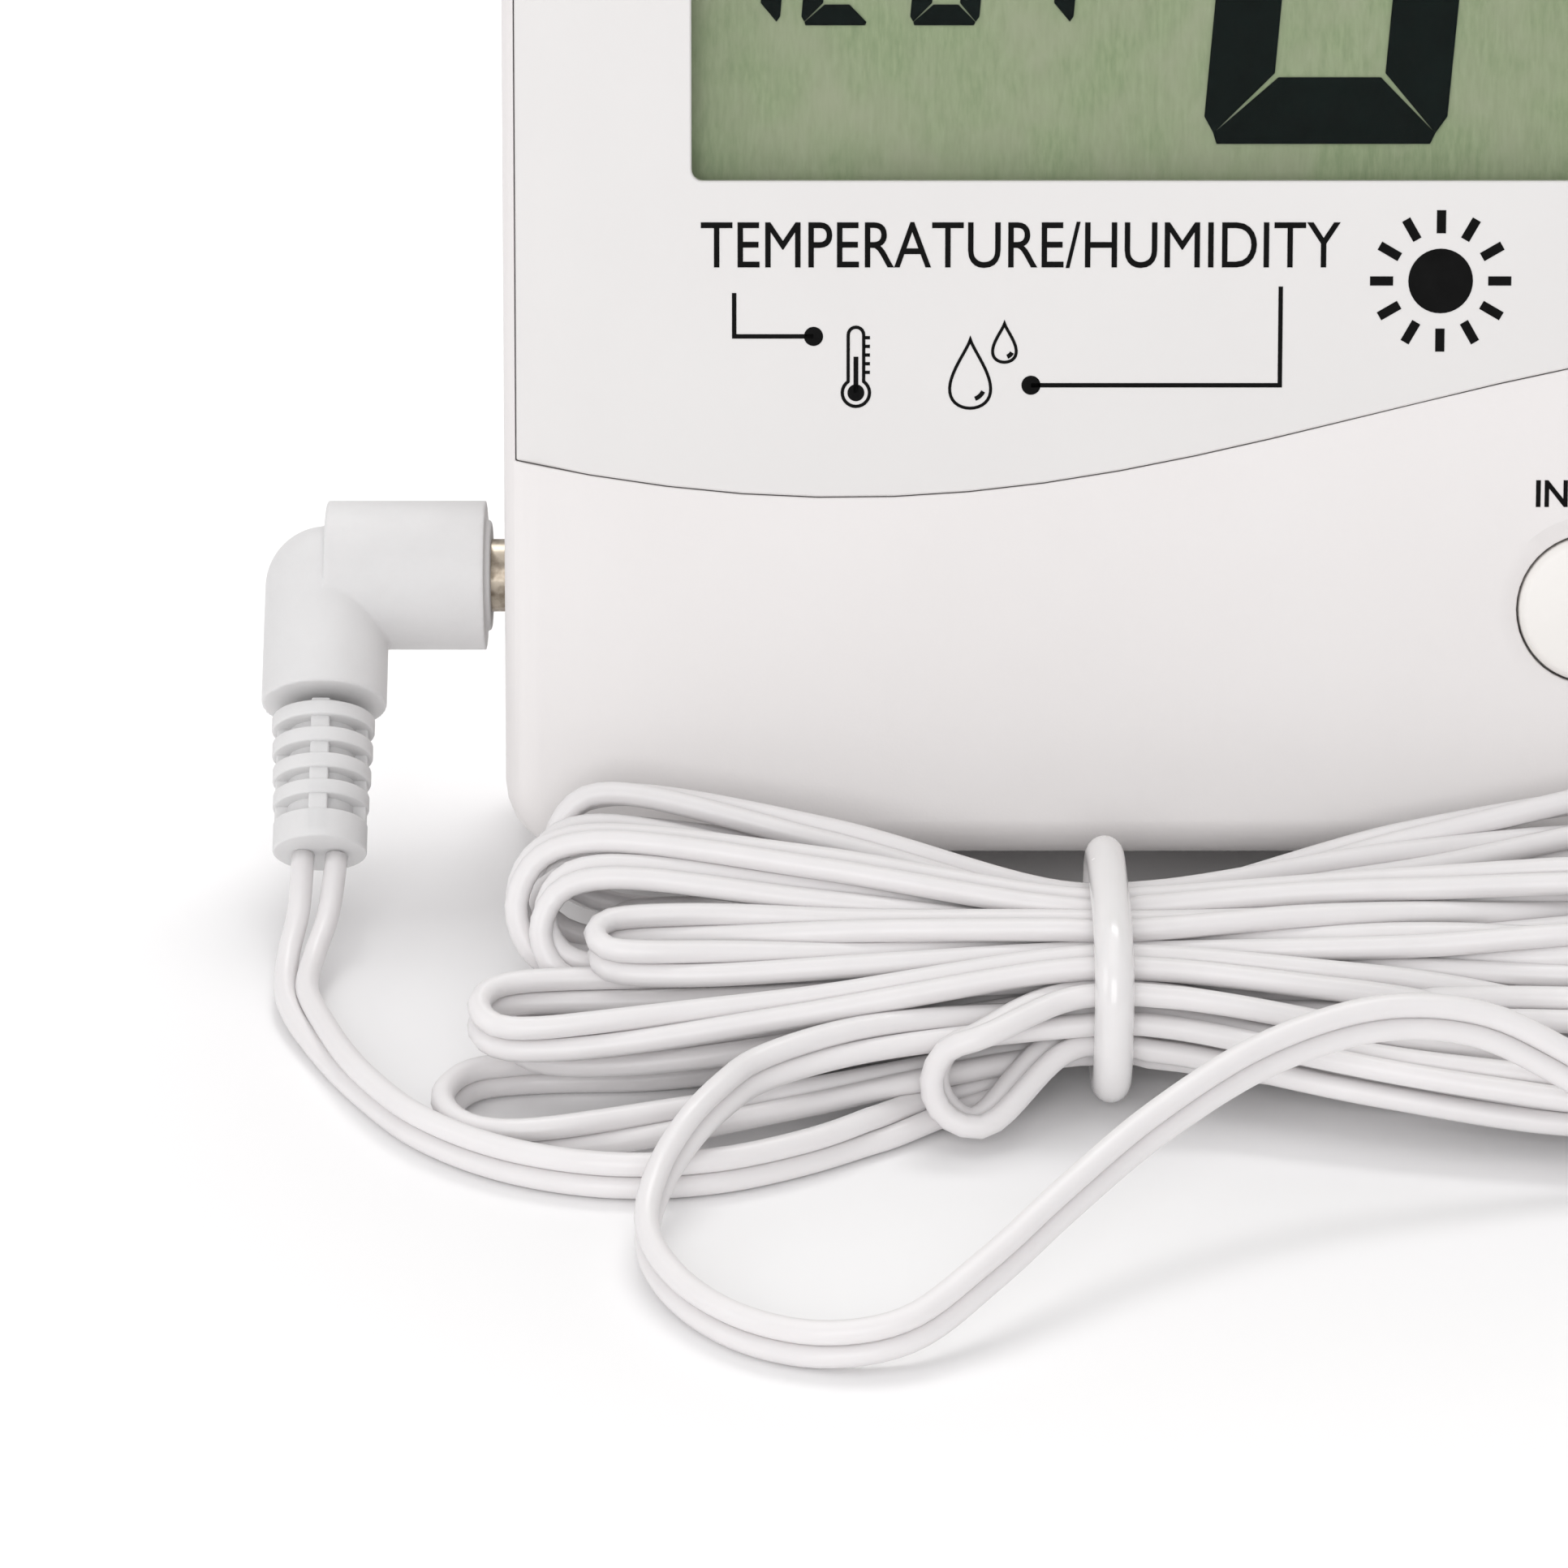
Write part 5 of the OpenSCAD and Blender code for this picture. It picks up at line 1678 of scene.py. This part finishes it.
    def spread(self) -> tuple[np.ndarray, np.ndarray, np.ndarray]:
        """Draws one even curve through the guide.

        Returns:
            Points a step apart, the width's direction at each, and whether each is held in place.
        """
        points, ways, first, last = self.guide()
        ways /= np.linalg.norm(ways, axis=1)[:, None]
        for i in range(1, len(ways)):
            if ways[i] @ ways[i - 1] < 0:
                ways[i] = -ways[i]
        padded = np.vstack([2 * points[0] - points[1], points, 2 * points[-1] - points[-2]])
        gaps = np.maximum(np.linalg.norm(np.diff(padded, axis=0), axis=1), 1e-6) ** 0.5
        knots = np.concatenate([[0], np.cumsum(gaps)])
        dense, dense_ways, held = [], [], []
        for i in range(1, len(padded) - 2):
            p0, p1, p2, p3 = padded[i - 1:i + 3]
            t0, t1, t2, t3 = knots[i - 1:i + 3]
            for t in np.linspace(t1, t2, self.fine, endpoint=False):
                a1 = (t1 - t) / (t1 - t0) * p0 + (t - t0) / (t1 - t0) * p1
                a2 = (t2 - t) / (t2 - t1) * p1 + (t - t1) / (t2 - t1) * p2
                a3 = (t3 - t) / (t3 - t2) * p2 + (t - t2) / (t3 - t2) * p3
                b1 = (t2 - t) / (t2 - t0) * a1 + (t - t0) / (t2 - t0) * a2
                b2 = (t3 - t) / (t3 - t1) * a2 + (t - t1) / (t3 - t1) * a3
                dense.append((t2 - t) / (t2 - t1) * b1 + (t - t1) / (t2 - t1) * b2)
                f = (t - t1) / (t2 - t1)
                dense_ways.append((1 - f) * ways[i - 1] + f * ways[i])
                held.append(float(i - 1 < first - 1 or i - 1 > last))
        dense.append(points[-1])
        dense_ways.append(ways[-1])
        held.append(1.0)
        dense, dense_ways, held = np.array(dense), np.array(dense_ways), np.array(held)
        run = np.concatenate([[0], np.cumsum(np.linalg.norm(np.diff(dense, axis=0), axis=1))])
        even = np.linspace(0, run[-1], int(run[-1] / self.step) + 1)
        line = np.column_stack([np.interp(even, run, dense[:, k]) for k in range(3)])
        way = np.column_stack([np.interp(even, run, dense_ways[:, k]) for k in range(3)])
        return line, way, np.interp(even, run, held) > 0.5

    @staticmethod
    def square_to(line: np.ndarray, way: np.ndarray) -> np.ndarray:
        """Turns width directions square to the line and evens them out.

        Args:
            line: the centreline's points.
            way: a wished direction at each.

        Returns:
            Unit directions square to the line.
        """
        ahead = np.gradient(line, axis=0)
        ahead /= np.linalg.norm(ahead, axis=1)[:, None]
        for _ in range(14):
            way = way - np.sum(way * ahead, axis=1)[:, None] * ahead
            way /= np.maximum(np.linalg.norm(way, axis=1), 1e-6)[:, None]
            flips = np.cumsum(np.concatenate([[0], np.sum(way[1:] * way[:-1], axis=1) < 0])) % 2
            way = way * np.where(flips, -1.0, 1.0)[:, None]
            way[1:-1] = (way[:-2] + way[1:-1] + way[2:]) / 3
        way = way - np.sum(way * ahead, axis=1)[:, None] * ahead
        return way / np.linalg.norm(way, axis=1)[:, None]

    def keep_out(self, p: np.ndarray, axes: CaseAxes) -> None:
        """Moves strand points off the floor, off the case's face and into the tie.

        Args:
            p: the points, changed in place.
            axes: the case's axes.
        """
        r = self.strand / 2
        p[:, 2] = np.maximum(p[:, 2], r + self.off)
        into = np.array(axes.into)
        deep = p @ into - axes.face
        near = (deep > -r - self.case_gap) & (p[:, 0] > self.past_case[0]) & (p[:, 1] < self.past_case[1])
        p[near] -= (deep[near] + r + self.case_gap)[:, None] * into
        inside = np.abs(p[:, 0] - self.tie_x) < self.in_tie
        y = (p[inside, 1] - self.tie_centre[0]) / (self.tie_half[0] - r)
        z = (p[inside, 2] - self.tie_centre[1]) / (self.tie_half[1] - r)
        size = (np.abs(y) ** 4 + np.abs(z) ** 4) ** 0.25
        shrink = np.where(size > 1, 1 / np.maximum(size, 1e-9), 1.0)
        p[inside, 1] = self.tie_centre[0] + y * shrink * (self.tie_half[0] - r)
        p[inside, 2] = self.tie_centre[1] + z * shrink * (self.tie_half[1] - r)

    def neighbours(self, p: np.ndarray, count: int, reach: float) -> tuple[np.ndarray, np.ndarray]:
        """Finds pairs of strand points that are near each other but not next to each other.

        Args:
            p: both strands' points, one strand after the other.
            count: points on one strand.
            reach: how near a pair is.

        Returns:
            The pairs' two point numbers.
        """
        order = np.argsort(p[:, 0])
        x = p[order, 0]
        pairs_a, pairs_b = [], []
        span = 1
        while span < len(x):
            close = x[span:] - x[:-span] < reach
            if not close.any():
                break
            a, b = order[:-span][close], order[span:][close]
            apart = p[a] - p[b]
            keep = np.einsum("ij,ij->i", apart, apart) < reach * reach
            keep &= np.abs(a % count - b % count) > 4
            pairs_a.append(a[keep])
            pairs_b.append(b[keep])
            span += 1
        return np.concatenate(pairs_a), np.concatenate(pairs_b)

    def relax(self, one: np.ndarray, two: np.ndarray, held: np.ndarray, axes: CaseAxes) -> None:
        """Lets the two strands settle side by side, clear of one another and of what is about them.

        Args:
            one: the first strand's points, changed in place.
            two: the second strand's points, changed in place.
            held: which points don't move.
            axes: the case's axes.
        """
        count = len(one)
        home = np.vstack([one, two])
        p = home.copy()
        free = (~np.concatenate([held, held])).astype(float)[:, None]
        gap = self.strand + self.clear
        for step in range(self.rounds):
            if step % self.look_every == 0:
                near_a, near_b = self.neighbours(p, count, self.near)
            apart = p[near_a] - p[near_b]
            size = np.maximum(np.linalg.norm(apart, axis=1), 1e-6)
            touch = size < gap
            push = apart[touch] * ((gap - size[touch]) / size[touch] * 0.5)[:, None]
            move = np.zeros_like(p)
            for k in range(3):
                move[:, k] += np.bincount(near_a[touch], push[:, k], len(p))
                move[:, k] -= np.bincount(near_b[touch], push[:, k], len(p))
            hits = 1 + self.crowding * (np.bincount(near_a[touch], minlength=len(p))
                                        + np.bincount(near_b[touch], minlength=len(p)))
            p += free * move / hits[:, None]
            rung = p[count:] - p[:count]
            size = np.linalg.norm(rung, axis=1)
            fix = rung * ((size - self.strand) / np.maximum(size, 1e-6) * 0.5)[:, None]
            p[:count] += free[:count] * fix
            p[count:] -= free[count:] * fix
            shift = p - home
            for reach in (1, 3):
                for base in (0, count):
                    part = shift[base:base + count]
                    even = (part[:-2 * reach] + part[2 * reach:]) / 2
                    part[reach:-reach] += 0.5 * (even - part[reach:-reach])
            p = home + free * shift
            self.keep_out(p, axes)
            p = np.where(free > 0, p, home)
        one[:], two[:] = p[:count], p[count:]

    def tube(self, name: str, strands: list[np.ndarray], radius: float) -> bpy.types.Object:
        """Makes closed round tubes along strands.

        Args:
            name: the piece's name.
            strands: each strand's points in millimetres.
            radius: the strands' radius in millimetres.

        Returns:
            One object that holds every strand.
        """
        verts: list[Point] = []
        faces: list[tuple[int, ...]] = []
        for line in strands:
            base = len(verts)
            ahead = np.gradient(line, axis=0)
            ahead /= np.linalg.norm(ahead, axis=1)[:, None]
            side = np.cross(ahead[0], [0.0, 0.0, 1.0])
            for i in range(len(line)):
                side = side - (side @ ahead[i]) * ahead[i]
                side /= np.linalg.norm(side)
                up = np.cross(ahead[i], side)
                for k in range(self.sides):
                    a = 2 * math.pi * k / self.sides
                    verts.append(tuple(line[i] + radius * (math.cos(a) * side + math.sin(a) * up)))
            for i in range(len(line) - 1):
                for k in range(self.sides):
                    a, b = base + i * self.sides + k, base + i * self.sides + (k + 1) % self.sides
                    faces.append((a, b, b + self.sides, a + self.sides))
            last = base + (len(line) - 1) * self.sides
            faces.append(tuple(base + k for k in reversed(range(self.sides))))
            faces.append(tuple(last + k for k in range(self.sides)))
        return mesh_object(name, verts, faces)

    def build(self, axes: CaseAxes) -> bpy.types.Object:
        """Args:
            axes: the case's axes.

        Returns:
            The lead's one piece.
        """
        line, way, held = self.spread()
        way = self.square_to(line, way)
        line[:, 2] = np.maximum(line[:, 2], self.strand / 2 * (1 + np.abs(way[:, 2])) + self.off)
        apart = self.strand + self.parting * np.clip(1 - self.step * np.arange(len(line)) / self.parted, 0, 1)
        one, two = line + way * apart[:, None] / 2, line - way * apart[:, None] / 2
        self.relax(one, two, held, axes)
        middle = (one + two) / 2
        run = float(np.sum(np.linalg.norm(np.diff(middle, axis=0), axis=1)))
        log.info("lead: %.0f mm along its middle, %d points", run, len(middle))
        piece = self.tube("twin_lead", [one, two], self.strand / 2 + self.skin)
        LEAD_WHITE.lay(piece)
        stand_for(piece, "lead_from_plug", "lead_hank", "lead_to_probe")
        self.middle = middle
        return piece


# ---------------------------------------------------------------- studio


@dataclass(frozen=True)
class Lamp:
    """A square soft lamp: its place and aim in metres, its side, its power in watts and its colour."""

    name: str
    place: Point
    aim: Point
    size: float
    power: float
    colour: Colour


@dataclass
class Studio:
    """A plain pale floor, soft lights and the camera."""

    focal: float = 146.8
    pitch: float = 26.0
    distance: float = 0.350
    target_u: float = 15.3
    target_s: float = 4.0
    floor_half: float = 3.0
    room: float = 0.56
    lamps: tuple[Lamp, ...] = (
        Lamp("overhead", (-0.1, 0.0, 1.1), (0, -0.02, 0), 1.0, 2.0, (1.0, 0.99, 0.985)),
        Lamp("back_window", (0.12, 0.55, 0.95), (0, -0.02, 0.02), 0.55, 5.4, (1.0, 0.995, 0.99)),
        Lamp("left_window", (-0.9, -0.35, 0.35), (-0.04, -0.02, 0.04), 0.5, 1.2, (1.0, 1.0, 1.0)),
        Lamp("front_fill", (-0.15, -1.1, 0.5), (-0.02, -0.02, 0.03), 0.7, 4.6, (1.0, 0.995, 1.0)))

    def floor(self) -> None:
        """Lays the floor."""
        half = self.floor_half
        mesh = bpy.data.meshes.new("floor")
        mesh.from_pydata([(-half, -half, 0), (half, -half, 0), (half, half, 0), (-half, half, 0)], [],
                         [(0, 1, 2, 3)])
        piece = stood("floor", mesh)
        FLOOR_WHITE.lay(piece)

    def hang(self, lamp: Lamp) -> None:
        """Hangs a soft lamp.

        Args:
            lamp: where it hangs and how it shines.
        """
        data = bpy.data.lights.new(lamp.name, "AREA")
        data.size = lamp.size
        data.energy = lamp.power
        data.color = lamp.colour
        piece = stood(lamp.name, data)
        piece.location = lamp.place
        piece.rotation_euler = (Vector(lamp.aim) - Vector(lamp.place)).to_track_quat("-Z", "Y").to_euler()

    def light(self) -> None:
        """Lights the room and hangs the lamps."""
        world = bpy.data.worlds.new("room")
        world.use_nodes = True
        world.node_tree.nodes["Background"].inputs["Color"].default_value = (1.0, 0.995, 1.0, 1)
        world.node_tree.nodes["Background"].inputs["Strength"].default_value = self.room
        bpy.context.scene.world = world
        for lamp in self.lamps:
            self.hang(lamp)
        bpy.context.scene.view_settings.view_transform = "Standard"

    def camera(self, axes: CaseAxes) -> None:
        """Sets the camera at the case's lower left corner.

        Args:
            axes: the case's axes.
        """
        low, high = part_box("front_shell")
        target = Vector(axes.at(low[0] / MM + self.target_u, 0, self.target_s)) * MM
        lean = math.radians(self.pitch)
        data = bpy.data.cameras.new("camera")
        data.lens = self.focal
        data.sensor_width = 36.0
        data.clip_start = 0.01
        eye = stood("camera", data)
        eye.location = target - self.distance * Vector((0, math.cos(lean), -math.sin(lean)))
        eye.rotation_euler = (math.pi / 2 - lean, 0, 0)
        bpy.context.scene.camera = eye


def main() -> None:
    """Builds every part of the thermometer in order."""
    logging.basicConfig(level=logging.INFO, format="%(name)s: %(message)s")
    axes = CaseAxes()
    studio = Studio()
    studio.camera(axes)
    studio.light()
    studio.floor()
    Works().build()
    lead = Lead()
    lead_piece = lead.build(axes)
    tie = Tie().build()
    plug = Plug().build()
    probe = Probe().build()
    made = [lead_piece, tie, *plug, *probe, *Case().build(), *Buttons().build(axes),
            Display().build(axes), *Print().build(axes)]
    for piece in made:
        log.info("%s: %d faces", piece.name, len(piece.data.polygons))


if __name__ == "__main__":
    main()
